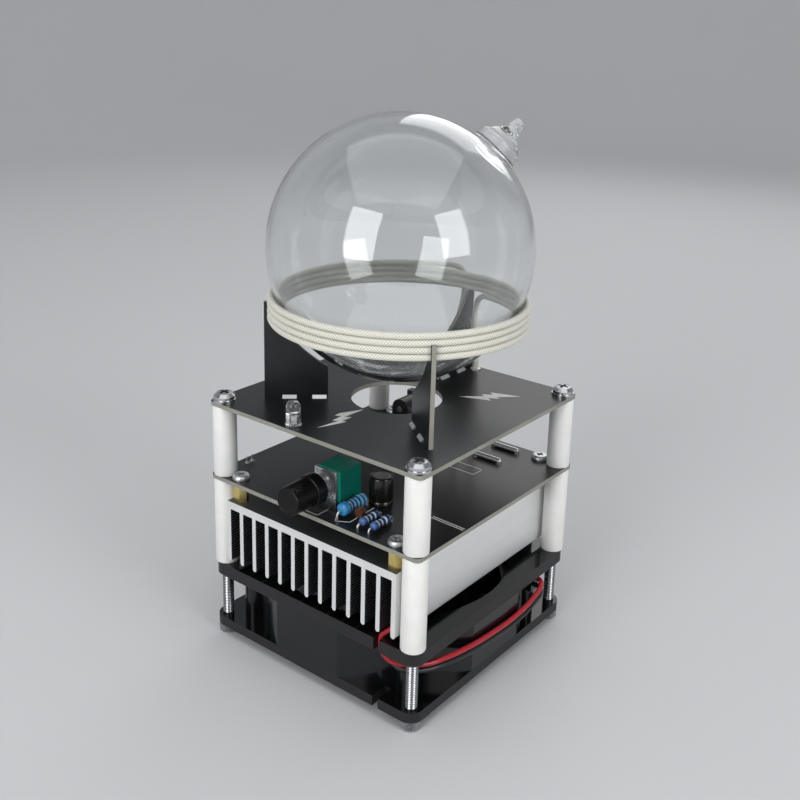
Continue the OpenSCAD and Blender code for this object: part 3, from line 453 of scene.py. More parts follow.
def draw_up(rings, radius, height):
    """Extrudes the selected ring, of a radius at a height, through (radius, height) pairs about Z."""
    for next_radius, next_height in rings:
        bpy.ops.mesh.extrude_region_move(TRANSFORM_OT_translate={"value": (0, 0, next_height - height)})
        ratio = next_radius / radius
        bpy.ops.transform.resize(value=(ratio, ratio, 1), center_override=(0, 0, next_height))
        radius, height = next_radius, next_height


def soften(angle=SHARP):
    """Smooths the active piece's shading, apart from its sharp edges."""
    bpy.ops.object.shade_smooth_by_angle(angle=math.radians(angle))


def finish_nodes(material, *names):
    """Gives CAD nodes a finish."""
    for name in names:
        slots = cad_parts[name].data.materials
        slots.clear()
        slots.append(material)


def settle(piece, name, body, material, replaced=()):
    """Names a finished piece, puts its place in its mesh and ties it to its body, slot and CAD nodes."""
    activate(piece)
    bpy.ops.object.transform_apply()
    piece.name = name
    piece.data.name = name
    piece.data.materials.clear()
    piece.data.materials.append(material)
    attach(piece, body)
    if replaced:
        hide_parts(*replaced)


def turned(profile, segments=48, angle=SHARP):
    """A turned solid about Z: a disc extruded and resized through (radius, height) pairs."""
    clear_selection()
    radius, height = profile[0]
    bpy.ops.mesh.primitive_circle_add(vertices=segments, radius=radius, fill_type="NGON",
                                      location=(0, 0, height))
    piece = bpy.context.object
    bpy.ops.object.transform_apply()
    edit_all()
    draw_up(profile[1:], radius, height)
    close_up()
    soften(angle)
    return piece


def faced(profile, place, segments=32, angle=SHARP):
    """A turned solid in millimetres that faces the front, with its foot at a place in metres."""
    piece = turned([(r * MM, h * MM) for r, h in profile], segments, angle)
    piece.rotation_euler = Euler((math.radians(90), 0, 0))
    piece.location = place
    activate(piece)
    bpy.ops.object.transform_apply()
    return piece


def block(low, high, edge):
    """A box between two corners with rounded edges."""
    clear_selection()
    low, high = Vector(low), Vector(high)
    bpy.ops.mesh.primitive_cube_add(size=1, location=(low + high) / 2)
    piece = bpy.context.object
    piece.scale = high - low
    bpy.ops.object.transform_apply()
    rounding = piece.modifiers.new("edges", "BEVEL")
    rounding.width = edge
    rounding.segments = 2
    bpy.ops.object.modifier_apply(modifier=rounding.name)
    soften()
    return piece


def drilled(piece, drill):
    """Cuts the drill's shape out of a piece."""
    cut = piece.modifiers.new("hole", "BOOLEAN")
    cut.operation = "DIFFERENCE"
    cut.object = drill
    activate(piece)
    bpy.ops.object.modifier_apply(modifier=cut.name)
    bpy.data.objects.remove(drill)
    soften()
    return piece


def wire(points, diameter, sides=16, steps=6):
    """A round wire through points, as a mesh with its own UV map."""
    clear_selection()
    bpy.ops.curve.primitive_bezier_curve_add()
    piece = bpy.context.object
    spline = piece.data.splines[0]
    spline.bezier_points.add(len(points) - len(spline.bezier_points))
    for knot, place in zip(spline.bezier_points, points):
        knot.co = place
        knot.handle_left_type = "AUTO"
        knot.handle_right_type = "AUTO"
    piece.data.resolution_u = steps
    piece.data.bevel_depth = diameter / 2
    piece.data.bevel_resolution = sides // 4 - 1
    piece.data.use_fill_caps = True
    bpy.ops.object.convert(target="MESH")
    soften(60)
    return bpy.context.object


def outline(points, low_z, high_z):
    """A thin flat plate with a polygon outline in millimetres, such as a printed mark."""
    clear_selection()
    bpy.ops.mesh.primitive_circle_add(vertices=len(points), radius=1, fill_type="NGON")
    piece = bpy.context.object
    for corner, (x, y) in zip(piece.data.vertices, points):
        corner.co = (x * MM, y * MM, low_z)
    edit_all()
    bpy.ops.mesh.extrude_region_move(TRANSFORM_OT_translate={"value": (0, 0, high_z - low_z)})
    close_up()
    return piece


def stroke(start, end, wide, low_z, high_z):
    """A printed line between two points in millimetres."""
    a, b = Vector(start), Vector(end)
    side = (b - a).normalized().orthogonal() * wide / 2
    ends = (b - a).normalized() * wide / 2
    return outline([a - ends - side, b + ends - side, b + ends + side, a - ends + side], low_z, high_z)


def joined(pieces):
    """Joins pieces into the first one."""
    clear_selection()
    for piece in pieces:
        piece.select_set(True)
    bpy.context.view_layer.objects.active = pieces[0]
    bpy.ops.object.join()
    return bpy.context.object


def copied(piece, place):
    """A copy with its own mesh, moved by an offset."""
    twin = piece.copy()
    twin.data = piece.data.copy()
    twin.location = Vector(piece.location) + Vector(place)
    bpy.context.scene.collection.objects.link(twin)
    return twin


def at_corners(piece, across=CORNER, deep=CORNER):
    """The piece and three copies, at the corners of the stack."""
    places = [(-across, -deep), (across, -deep), (across, deep), (-across, deep)]
    made = [copied(piece, (x, y, 0)) for x, y in places]
    bpy.data.objects.remove(piece)
    return joined(made)


def polar(degrees, radius, height):
    """A point at an angle and a distance from the upright axis."""
    turn = math.radians(degrees)
    return Vector((radius * math.cos(turn), radius * math.sin(turn), height))


class PLASMA_LAMP_OT_bulb(bpy.types.Operator):
    """Blow the glass bulb with its sealed tip"""

    bl_idname = "plasma_lamp.bulb"
    bl_label = "Glass Bulb"

    SEGMENTS = 128
    RINGS = 64
    # The tip grows out of a collar of this radius.
    COLLAR_R = 10.4 * MM
    # Radius and distance from the bulb's centre of the band at the foot of the tip, in millimetres.
    BAND = [(9.75, 48.8), (9.35, 49.5), (9.15, 50.6), (9.0, 52.0), (8.85, 52.8)]
    # The drawn cone narrows from its shoulder to its waist in a hollow curve, and a bead closes it.
    SHOULDER = (8.45, 53.35)
    WAIST = (2.45, 61.4)
    CONE_STEPS = 11
    CONE_CURVE = 1.8
    BEAD_AT = 61.95
    BEAD_H = 2.15
    BEAD_STEP = 12

    def tip_rings(self):
        """Radius and height of each ring of the tip, in metres."""
        rings = list(self.BAND)
        wide, low = self.SHOULDER
        slim, high = self.WAIST
        for k in range(self.CONE_STEPS + 1):
            part = k / self.CONE_STEPS
            rings.append((slim + (wide - slim) * (1 - part) ** self.CONE_CURVE, low + (high - low) * part))
        for degrees in range(0, 90, self.BEAD_STEP):
            turn = math.radians(degrees)
            rings.append((slim * math.cos(turn), self.BEAD_AT + self.BEAD_H * math.sin(turn)))
        return [(radius * MM, height * MM) for radius, height in rings]

    def ball(self, radius):
        """A fine sphere, open for editing."""
        clear_selection()
        bpy.ops.mesh.primitive_uv_sphere_add(segments=self.SEGMENTS, ring_count=self.RINGS, radius=radius)
        edit_all()
        return bpy.context.object

    def execute(self, context):
        inside = self.ball(BULB_R - context.scene.lamp_sizes.glass_wall)
        bpy.ops.mesh.flip_normals()
        outside = self.ball(BULB_R)
        collar_at = math.sqrt(BULB_R ** 2 - self.COLLAR_R ** 2)
        bpy.ops.mesh.bisect(plane_co=(0, 0, collar_at), plane_no=(0, 0, 1), clear_outer=True)
        draw_up(self.tip_rings(), self.COLLAR_R, collar_at)
        bpy.ops.mesh.edge_face_add()
        close_up()
        bulb = joined([outside, inside])
        bpy.ops.object.shade_smooth()
        bulb.rotation_euler = Euler((0, TIP_TILT, TIP_TURN))
        bulb.location = (0, 0, BULB_Z)
        settle(bulb, "blown_bulb", "bulb", glass_material(), ["glass_bulb"])
        return {"FINISHED"}


class PLASMA_LAMP_OT_winding(bpy.types.Operator):
    """Wind the braided induction wire round the bulb seat"""

    bl_idname = "plasma_lamp.winding"
    bl_label = "Induction Winding"

    # The outer end of the wire comes down this far outside the loops.
    WRAP_OUT = 2.55 * MM
    # Degrees before a loop's first point, between its points, and left at its end for the way out.
    FIRST = 9
    STEP = 10
    LEAVE = 24

    def route(self):
        """The wire's line: up from its terminal, round the loops, and down outside them."""
        lean = math.degrees(math.atan2(LEAD_X, LEAD_Y))
        start, end = 90 - lean, 90 + lean - 360 * LOOPS
        turned_by = start - end
        low = WINDING_TOP - LOOP_STEP * turned_by / 360
        foot_r = math.hypot(LEAD_X, LEAD_Y)
        out_r = WINDING_R + self.WRAP_OUT
        points = [
            polar(start, foot_r, LEAD_FOOT),
            polar(start, foot_r, LEAD_FOOT + 3 * MM),
            polar(start, foot_r + 0.3 * MM, (LEAD_FOOT + low) / 2),
            polar(start, WINDING_R - 0.3 * MM, low - 5 * MM),
            polar(start - 0.3, WINDING_R, low - 2.8 * MM),
            polar(start - 2.2, WINDING_R, low - 0.9 * MM),
            polar(start - 5, WINDING_R, low - 0.1 * MM),
        ]
        turn = self.FIRST
        while turn < turned_by - self.LEAVE:
            points.append(polar(start - turn, WINDING_R, low + LOOP_STEP * turn / 360))
            turn += self.STEP
        top = WINDING_TOP
        points += [
            polar(end + 16, WINDING_R + 0.7 * MM, top),
            polar(end + 9, WINDING_R + 1.7 * MM, top + 0.1 * MM),
            polar(end + 4, out_r - 0.2 * MM, top - 0.2 * MM),
            polar(end + 1.2, out_r + 0.2 * MM, top - 1.7 * MM),
            polar(end, out_r + 0.3 * MM, top - 4 * MM),
            polar(end, out_r + 0.3 * MM, low - 1 * MM),
            polar(end, out_r - 0.3 * MM, low - 4.5 * MM),
            polar(end, foot_r + 1.2 * MM, low - 9 * MM),
            polar(end, foot_r, low - 14 * MM),
            polar(end, foot_r, LEAD_FOOT + 3 * MM),
            polar(end, foot_r, LEAD_FOOT),
        ]
        return points

    def execute(self, context):
        coil = wire(self.route(), context.scene.lamp_sizes.braid_d, steps=4)
        settle(coil, "braided_winding", STACK, braid_material(), ["induction_winding"])
        return {"FINISHED"}


class PLASMA_LAMP_OT_fan_leads(bpy.types.Operator):
    """Lay the two fan leads along their route"""

    bl_idname = "plasma_lamp.fan_leads"
    bl_label = "Fan Leads"

    # The route from the fan round its corner, up through the slit and along the sink to the connector.
    RED = [(46.5, 33, 23.4), (48.5, 33, 23.4), (50.6, 31, 22.8), (51.3, 24, 20.3), (51.5, 12, 18.7),
           (51.5, -4, 19.2), (51, -20, 20.6), (49.2, -32, 21.6), (46.6, -38.4, 21.6), (43, -42.8, 22),
           (39, -46, 22.5), (35.6, -47.5, 24.2), (33.2, -47.4, 27.2), (33, -47.2, 30.9), (33.2, -47, 31.6),
           (34.4, -46.6, 33), (36, -45.8, 34.5), (37.6, -44, 36.3), (38, -41, 38.2), (38, -28, 39),
           (38, 0, 39), (38, 28, 39), (38, 46, 39.4), (37.8, 51.4, 42), (37.4, 52.4, 48), (36.2, 52.4, 56),
           (33.8, 52, 61.2), (32.2, 50.5, 63.4), (31.95, 49.5, 63.5), (31.95, 47.5, 63.5)]
    DARK = [(46.5, 33, 20.4), (48.5, 33, 20.4), (50.6, 31, 19.8), (51.3, 24, 17.6), (51.5, 12, 16.2),
            (51.5, -4, 16.9), (51, -20, 18.3), (49.2, -32, 19.3), (46.6, -38.4, 19.3), (43, -42.8, 19.7),
            (39, -45, 20.3), (35.6, -45.2, 22.5), (33.3, -45, 25.4), (33, -44.8, 30.6), (33.1, -44.7, 31.5),
            (34.3, -44, 33), (35.5, -43.2, 34.5), (35.5, -41, 36.8), (35.5, -37, 38.5), (35.5, -24, 39),
            (35.5, 0, 39), (35.5, 28, 39), (35.5, 46, 39.4), (35.4, 51.4, 42), (35, 52.4, 48),
            (33.7, 52.4, 56), (31, 52, 61.2), (29.7, 50.5, 63.4), (29.45, 49.5, 63.5), (29.45, 47.5, 63.5)]

    def execute(self, context):
        sizes, colours = context.scene.lamp_sizes, context.scene.lamp_colours
        red = moulded_material("red_pvc", colours.red_lead, 0.26, 2 * MM, 0.02 * MM)
        dark = moulded_material("black_pvc", "#1B1C1E", 0.34, 2 * MM, 0.02 * MM)
        for name, points, slot, material, node in (
            ("red_fan_lead", self.RED, "red_insulation", red, "fan_lead_red"),
            ("dark_fan_lead", self.DARK, "black_insulation", dark, "fan_lead_black"),
        ):
            lead = wire([Vector(p) * MM for p in points], sizes.fan_lead_d)
            settle(lead, name, STACK, material, [node])
        return {"FINISHED"}


class PLASMA_LAMP_OT_posts(bpy.types.Operator):
    """Turn the white nylon posts"""

    bl_idname = "plasma_lamp.posts"
    bl_label = "Nylon Posts"

    def execute(self, context):
        edge = context.scene.lamp_sizes.post_edge
        material = nylon_material(context.scene.lamp_colours.nylon)
        for node, name in (("lower_posts", "turned_lower_posts"), ("upper_posts", "turned_upper_posts")):
            low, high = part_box(node)
            post = turned([(POST_R - edge, low.z), (POST_R - 0.3 * edge, low.z + 0.3 * edge),
                           (POST_R, low.z + edge), (POST_R, high.z - edge),
                           (POST_R - 0.3 * edge, high.z - 0.3 * edge), (POST_R - edge, high.z)], 64)
            settle(at_corners(post), name, STACK, material, [node])
        return {"FINISHED"}


class PLASMA_LAMP_OT_decks(bpy.types.Operator):
    """Finish the plates, boards and cradles, and print plain marks on the boards"""

    bl_idname = "plasma_lamp.decks"
    bl_label = "Plates and Boards"

    # Plain lightning signs on the top board and outlines on the lower board, in millimetres.
    BOLT_MARKS = [
        [(-1.0, -18.2), (-5.2, -27.0), (-5.0, -29.7), (-2.8, -28.5), (-2.5, -33.9), (-0.6, -32.5),
         (-2.0, -42.3), (2.2, -31.4), (0.4, -32.0), (0.6, -26.9), (-1.5, -28.4)],
        [(17.6, 16.7), (24.5, 23.3), (22.4, 24.4), (26.3, 26.7), (24.0, 28.3), (35.1, 32.3), (28.6, 25.6),
         (30.5, 25.1), (26.7, 22.6), (29.1, 21.1)],
    ]
    LINES = [
        ((-3.6, -48.6), (3.9, -48.6)), ((3.9, -48.6), (3.9, -41.0)),
        ((9.5, -44.4), (11.6, -47.6)), ((11.6, -47.6), (16.0, -44.9)), ((16.0, -44.9), (15.4, -31.2)),
        ((15.4, 15.6), (26.4, 15.6)), ((26.4, 15.6), (26.4, 21.4)), ((26.4, 21.4), (15.4, 21.4)),
        ((35.4, -23.3), (49.0, -23.7)), ((35.4, -22.2), (49.0, -22.6)),
    ]
    LINE_W = 0.45
    # The way each cradle points from the middle, in degrees.
    CRADLES = [("cradle_left", 222), ("cradle_front", 322), ("cradle_back", 90)]

    def execute(self, context):
        colours = context.scene.lamp_colours
        edge = linear("#94938A")
        mask = tuple(colours.mask)
        acrylic = sheet_material("cast_acrylic", tuple(colours.acrylic), linear("#141416"), 0.09, 0.5,
                                 (0, 0, 1), 12 * MM)
        finish_nodes(acrylic, "bottom_plate", "upper_plate")
        board = sheet_material("solder_mask", mask, edge, 0.34, 0.7, (0, 0, 1), 9 * MM)
        finish_nodes(board, "driver_board", "top_board")
        for node, degrees in self.CRADLES:
            normal = polar(degrees + 90, 1, 0)
            cradle = sheet_material("solder_mask_" + node, mask, edge, 0.34, 0.7, normal, 9 * MM)
            finish_nodes(cradle, node)
        ink_t = context.scene.lamp_sizes.ink_t
        marks = [outline(points, DECK_Z, DECK_Z + ink_t) for points in self.BOLT_MARKS]
        marks += [stroke(start, end, self.LINE_W, LOWER_Z, LOWER_Z + ink_t) for start, end in self.LINES]
        ink = moulded_material("white_ink", "#DEDFDB", 0.55, 1 * MM, 0.005 * MM)
        settle(joined(marks), "printed_marks", STACK, ink)
        return {"FINISHED"}


class PLASMA_LAMP_OT_metalwork(bpy.types.Operator):
    """Finish the heat sink, screws, standoffs, wires and terminals, and roll the foot bolts' thread"""

    bl_idname = "plasma_lamp.metalwork"
    bl_label = "Metalwork"

    # The foot bolts: the head's radius, and the knurl's teeth, their height and the plain rims beside them.
    HEAD_R = 3.5 * MM
    TEETH = 40
    TOOTH_H = 0.24 * MM
    LOW_RIM = 0.8 * MM
    HIGH_RIM = 0.3 * MM
    # Height of the thread, its gap to the plates, and where its flat crest lies in the pitch.
    THREAD_H = 0.2 * MM
    THREAD_GAP = 0.2 * MM
    CREST = (0.42, 0.58)
    # The board's screws: the head's profile in parts of its radius and rise, and the size of a recess arm.
    SCREW_R = 3.3 * MM
    SHANK_R = 1.25 * MM
    SCREW_EDGE = 0.1 * MM
    PAN = [(1.0, 0.45), (0.97, 0.65), (0.9, 0.85), (0.82, 0.96), (0.74, 1.0)]
    RECESS = Vector((1.5, 0.52, 1.4)) * MM

    def pan_screw(self):
        """A flat-topped pan-head screw with a cross recess, in the middle of the board."""
        low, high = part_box("standoff_screws")
        head, edge, seat, top = self.SCREW_R, self.SCREW_EDGE, LOWER_Z, high.z
        shank = [(self.SHANK_R, low.z), (self.SHANK_R, seat), (head - edge, seat), (head, seat + edge)]
        screw = turned(shank + [(a * head, seat + b * (top - seat)) for a, b in self.PAN])
        for turn in (0, 90):
            arm = block((-self.RECESS.x, -self.RECESS.y, top - self.RECESS.z),
                        (self.RECESS.x, self.RECESS.y, top + self.RECESS.z), 0.05 * MM)
            arm.rotation_euler = Euler((0, 0, math.radians(turn)))
            screw = drilled(screw, arm)
        return screw

    def knurl(self):
        """The straight-knurled rim of one foot bolt's head."""
        low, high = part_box("foot_bolts")[0].z + self.LOW_RIM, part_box("bottom_plate")[0].z - self.HIGH_RIM
        root, crest = self.HEAD_R + PROUD, self.HEAD_R + self.TOOTH_H
        clear_selection()
        bpy.ops.mesh.primitive_cylinder_add(vertices=3 * self.TEETH, radius=root, depth=high - low,
                                            location=(0, 0, (low + high) / 2))
        rim = bpy.context.object
        bpy.ops.object.transform_apply()
        bpy.ops.object.mode_set(mode="EDIT")
        bpy.ops.mesh.select_mode(type="VERT")
        bpy.ops.mesh.select_all(action="DESELECT")
        bpy.ops.object.mode_set(mode="OBJECT")
        step = math.tau / (3 * self.TEETH)
        for vertex in rim.data.vertices:
            vertex.select = round(math.atan2(vertex.co.y, vertex.co.x) / step) % 3 == 0
        bpy.ops.object.mode_set(mode="EDIT")
        ratio = crest / root
        bpy.ops.transform.resize(value=(ratio, ratio, 1), center_override=(0, 0, low))
        bpy.ops.object.mode_set(mode="OBJECT")
        return rim

    def execute(self, context):
        finish_nodes(aluminium_material(), "heat_sink")
        steel = metal_material("nickel_plated_steel", "#C9CBCD", 0.22, 2 * MM, 0.01 * MM)
        finish_nodes(steel, "top_screws", "top_washers", "transistor_screw", "pot_shaft",
                     "inlet_pin", "post_studs", "fan_shaft")
        stainless = metal_material("rolled_stainless", "#A9ABAD", 0.26, 1 * MM, 0.01 * MM)
        finish_nodes(stainless, "foot_bolts")
        pitch = context.scene.lamp_sizes.thread_pitch
        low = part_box("bottom_plate")[1].z + self.THREAD_GAP
        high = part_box("upper_plate")[0].z - self.THREAD_GAP
        turns = round((high - low) / pitch)
        pitch = (high - low) / turns
        root, crest = BOLT_R + PROUD, BOLT_R + self.THREAD_H
        profile = [(root, low)]
        for k in range(turns):
            profile += [(crest, low + (k + part) * pitch) for part in self.CREST]
            profile.append((root, low + (k + 1) * pitch))
        thread = at_corners(turned(profile, 32, 25))
        settle(thread, "rolled_threads", STACK, stainless)
        settle(at_corners(self.knurl()), "knurled_heads", STACK, stainless)
        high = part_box("standoff_screws")[1]
        screws = at_corners(self.pan_screw(), high.x - self.SCREW_R, high.y - self.SCREW_R)
        nickel = metal_material("satin_nickel", "#DCDDDE", 0.38, 2 * MM, 0.01 * MM)
        settle(screws, "flat_screws", STACK, nickel, ["standoff_screws"])
        brass = metal_material("turned_brass", "#E3CD86", 0.32, 3 * MM, 0.005 * MM)
        finish_nodes(brass, "brass_standoffs")
        tin = metal_material("tinned_copper", "#E2E3E4", 0.36, 0.8 * MM, 0.04 * MM)
        finish_nodes(tin, "wire_links", "edge_pins", "solder_tabs", "led_leads", "pot_pins",
                     "winding_terminals")
        stamped = metal_material("stamped_steel", "#B9BBBD", 0.3, 3 * MM, 0.02 * MM)
        finish_nodes(stamped, "pot_bushing")
        finish_nodes(metal_material("drawn_copper", "#B7744A", 0.3, 1 * MM, 0.01 * MM), "feed_wires")
        finish_nodes(metal_material("sintered_bronze", "#A07C46", 0.5, 0.4 * MM, 0.03 * MM), "fan_bearing")
        finish_nodes(metal_material("wound_copper", "#8F5530", 0.45, 0.5 * MM, 0.05 * MM), "fan_stator")
        return {"FINISHED"}


class PLASMA_LAMP_OT_fan(bpy.types.Operator):
    """Finish the fan's frame, rotor and magnet"""

    bl_idname = "plasma_lamp.fan"
    bl_label = "Fan"

    def execute(self, context):
        gloss = moulded_material("glossy_pbt", "#0B0C0E", 0.16, 4 * MM, 0.02 * MM)
        finish_nodes(gloss, "fan_frame", "fan_rotor")
        finish_nodes(moulded_material("bonded_ferrite", "#2A2B2D", 0.6, 0.6 * MM, 0.02 * MM), "fan_magnet")
        return {"FINISHED"}


class PLASMA_LAMP_OT_control(bpy.types.Operator):
    """Turn the knob, press the bracket and finish the potentiometer"""

    bl_idname = "plasma_lamp.control"
    bl_label = "Control"

    # Radius and distance from the back of the knob, in millimetres: a smooth skirt and a tapered grip.
    SKIRT = [(5.4, 0.0), (5.7, 0.12), (5.85, 0.45), (5.9, 1.0), (5.9, 4.2), (5.86, 4.5), (5.75, 4.68),
             (5.58, 4.76), (5.5, 4.85), (5.47, 5.1)]
    # The front of the grip, counted from its radius and from the knob's length.
    GRIP_R = 5.1
    FRONT = [(0.02, -0.55), (-0.03, -0.3), (-0.14, -0.1), (-0.32, 0.0), (-0.6, -0.02), (-0.7, -0.1),
             (-4.8, -0.1)]
    # The bracket's pressings as radius and rise, its corner hole, and the rivets' places from the middle.
    RING = [(4.7, -0.1), (4.6, 0.16), (4.4, 0.26), (4.05, 0.26), (3.9, 0.12), (3.6, 0.1)]
    DOME = [(0.85, -0.1), (0.82, 0.22), (0.66, 0.42), (0.4, 0.54), (0.12, 0.58)]
    HOLE = [(0.65, -2.0), (0.65, 2.0)]
    HOLE_IN = 1.5 * MM
    RIVETS = [(4.6, 5.2), (6.7, 5.4)]

    def knob(self, back, length):
        """The knob, turned about its shaft."""
        front = [(self.GRIP_R + r, length + h) for r, h in self.FRONT]
        return faced(self.SKIRT + front, (CONTROL_X, back, CONTROL_Z), 96, 30)

    def bracket(self):
        """Two pressed sheets with a fold line between, an embossed ring, a corner hole and two rivets."""
        low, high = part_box("pot_bracket")
        line = 0.06 * MM
        edge = 0.12 * MM
        inset = 0.25 * MM
        middle = (low.y + high.y) / 2
        sheet = block(low, (high.x, middle - line, high.z), edge)
        hole = faced(self.HOLE, (low.x + self.HOLE_IN, low.y, high.z - self.HOLE_IN), 24)
        parts = [drilled(sheet, hole)]
        parts.append(block((low.x, middle + line, low.z), high, edge))
        parts.append(block((low.x + inset, middle - 2 * line, low.z + inset),
                           (high.x - inset, middle + 2 * line, high.z - inset), line / 3))
        parts.append(faced(self.RING, (CONTROL_X, low.y, CONTROL_Z), 64))
        parts += [faced(self.DOME, (x * MM, low.y, LOWER_Z + z * MM), 24) for x, z in self.RIVETS]
        return joined(parts)

    def execute(self, context):
        low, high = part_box("control_knob")
        knob = self.knob(high.y, (high.y - low.y) / MM)
        settle(knob, "turned_knob", "control",
               moulded_material("smooth_abs", "#0A0A0B", 0.28, 4 * MM, 0.004 * MM, 0.2), ["control_knob"])
        settle(self.bracket(), "pressed_bracket", STACK, bpy.data.materials["stamped_steel"],
               ["pot_bracket"])
        case = moulded_material("teal_pbt", context.scene.lamp_colours.case, 0.3, 5 * MM, 0.01 * MM, 0.35)
        finish_nodes(case, "pot_body")
        return {"FINISHED"}


class PLASMA_LAMP_OT_board_parts(bpy.types.Operator):
    """Make and finish the parts on the lower board"""

    bl_idname = "plasma_lamp.board_parts"
    bl_label = "Board Parts"

    # Place on the board, rise, diameter and length of the film resistors, in millimetres.
    BIG = (12.2, -39.2, 3.4, 4.9, 12.4)
    SMALL = [(21.8, -41.3, 2.2, 3.0, 9.0), (26.8, -41.3, 2.2, 3.0, 9.0)]
    # Place from the middle, width and colour of each ring.
    NAVY = "#141B38"
    PALE = "#D9DFEA"
    BIG_BANDS = [(at, 0.75, "#10203E") for at in (-3.4, -1.6, 0.2, 2.0, 3.8)]
    SMALL_BANDS = [(-3.2, 0.7, NAVY), (-2.3, 0.6, PALE), (-1.2, 0.8, NAVY), (-0.3, 0.6, PALE),
                   (0.8, 0.8, NAVY), (1.8, 0.6, PALE), (2.9, 0.8, NAVY)]
    # One end of a body, in parts of its radius and length.
    END = [(0.3, 0.0), (0.72, 0.012), (0.9, 0.035), (0.98, 0.075), (1.0, 0.13), (1.0, 0.22), (0.95, 0.28),
           (0.89, 0.33), (0.87, 0.38)]
    # A leg's diameter, its start inside the body, its reach past it and the size of its bend.
    LEG_D = 0.75
    LEG_IN = 0.2
    LEG_OUT = 1.8
    BEND = 0.7
    # The capacitor's sleeve and lid: inset from the radius, and rise from the foot or drop from the top.
    CAN_FOOT = [(0.3, 0.0), (0.0, 0.3), (0.0, 1.2), (0.35, 1.7), (0.0, 2.2)]
    CAN_TOP = [(0.0, 0.7), (0.2, 0.25), (0.6, 0.1), (0.9, 0.3)]
    LID = [(1.0, 0.4), (0.9, 0.2), (1.3, 0.05), (1.9, 0.12)]

    def film_resistor(self, x, y, rise, diameter, length):
        """A dog-bone body with its two bent leads."""
        r, half = diameter / 2, length / 2
        profile = [(a * r, b * length - half) for a, b in self.END]
        profile += [(a * r, half - b * length) for a, b in reversed(self.END)]
        body = faced(profile, (x * MM, y * MM, LOWER_Z + rise * MM), 40, 50)
        legs = []
        for side in (-1, 1):
            tip = y + side * (half - self.LEG_IN)
            knee = y + side * (half + self.LEG_OUT)
            places = [(tip, rise), (knee - side * self.BEND, rise), (knee, rise - self.BEND), (knee, 0)]
            legs.append(wire([(x * MM, b * MM, LOWER_Z + c * MM) for b, c in places], self.LEG_D * MM, 8, 4))
        return body, joined(legs)

    def execute(self, context):
        tin = bpy.data.materials["tinned_copper"]
        x, y, rise, diameter, length = self.BIG
        big, legs = self.film_resistor(x, y, rise, diameter, length)
        enamel = banded_material("sky_blue_enamel", "#68ABD8", "#2C86BE", self.BIG_BANDS, y, length, 0.3)
        settle(big, "power_resistor_body", STACK, enamel, ["power_resistor"])
        settle(legs, "power_resistor_legs", STACK, tin)
        x, y, rise, diameter, length = self.SMALL[0]
        enamel = banded_material("pale_blue_enamel", "#4C70AE", "#486BA6", self.SMALL_BANDS, y, length, 0.32)
        made = [self.film_resistor(*sizes) for sizes in self.SMALL]
        settle(joined([m[0] for m in made]), "small_resistor_bodies", STACK, enamel,
               ["small_resistors"])
        settle(joined([m[1] for m in made]), "small_resistor_legs", STACK, tin)
        low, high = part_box("electrolytic_capacitor")
        r, base, top = (high.x - low.x) / 2, low.z, high.z
        middle = ((low.x + high.x) / 2, (low.y + high.y) / 2, 0)
        can = turned([(r - a * MM, base + b * MM) for a, b in self.CAN_FOOT]
                     + [(r - a * MM, top - b * MM) for a, b in self.CAN_TOP], 56)
        can.location = middle
        sleeve = moulded_material("black_sleeve", "#14140F", 0.22, 3 * MM, 0.02 * MM)
        settle(can, "capacitor_can", STACK, sleeve, ["electrolytic_capacitor"])
        lid = turned([(r - a * MM, top - b * MM) for a, b in self.LID], 56)
        lid.location = middle
        # Painted reflection: the lid's aluminium is coloured dark grey for the dark board it reflects above
        # it.
        settle(lid, "capacitor_lid", STACK,
               metal_material("lid_aluminium_painted_dark", "#5C5D5A", 0.3, 2 * MM, 0.02 * MM))
        finish_nodes(moulded_material("dipped_ceramic", "#5A3524", 0.35, 0.8 * MM, 0.05 * MM),
                     "ceramic_capacitor")
        epoxy = moulded_material("black_epoxy", "#121315", 0.36, 0.8 * MM, 0.02 * MM)
        finish_nodes(epoxy, "power_transistor", "dc_inlet", "fan_connector")
        finish_nodes(moulded_material("silicone_pad", "#AEB4BA", 0.7, 1 * MM, 0.02 * MM), "transistor_pad")
        return {"FINISHED"}


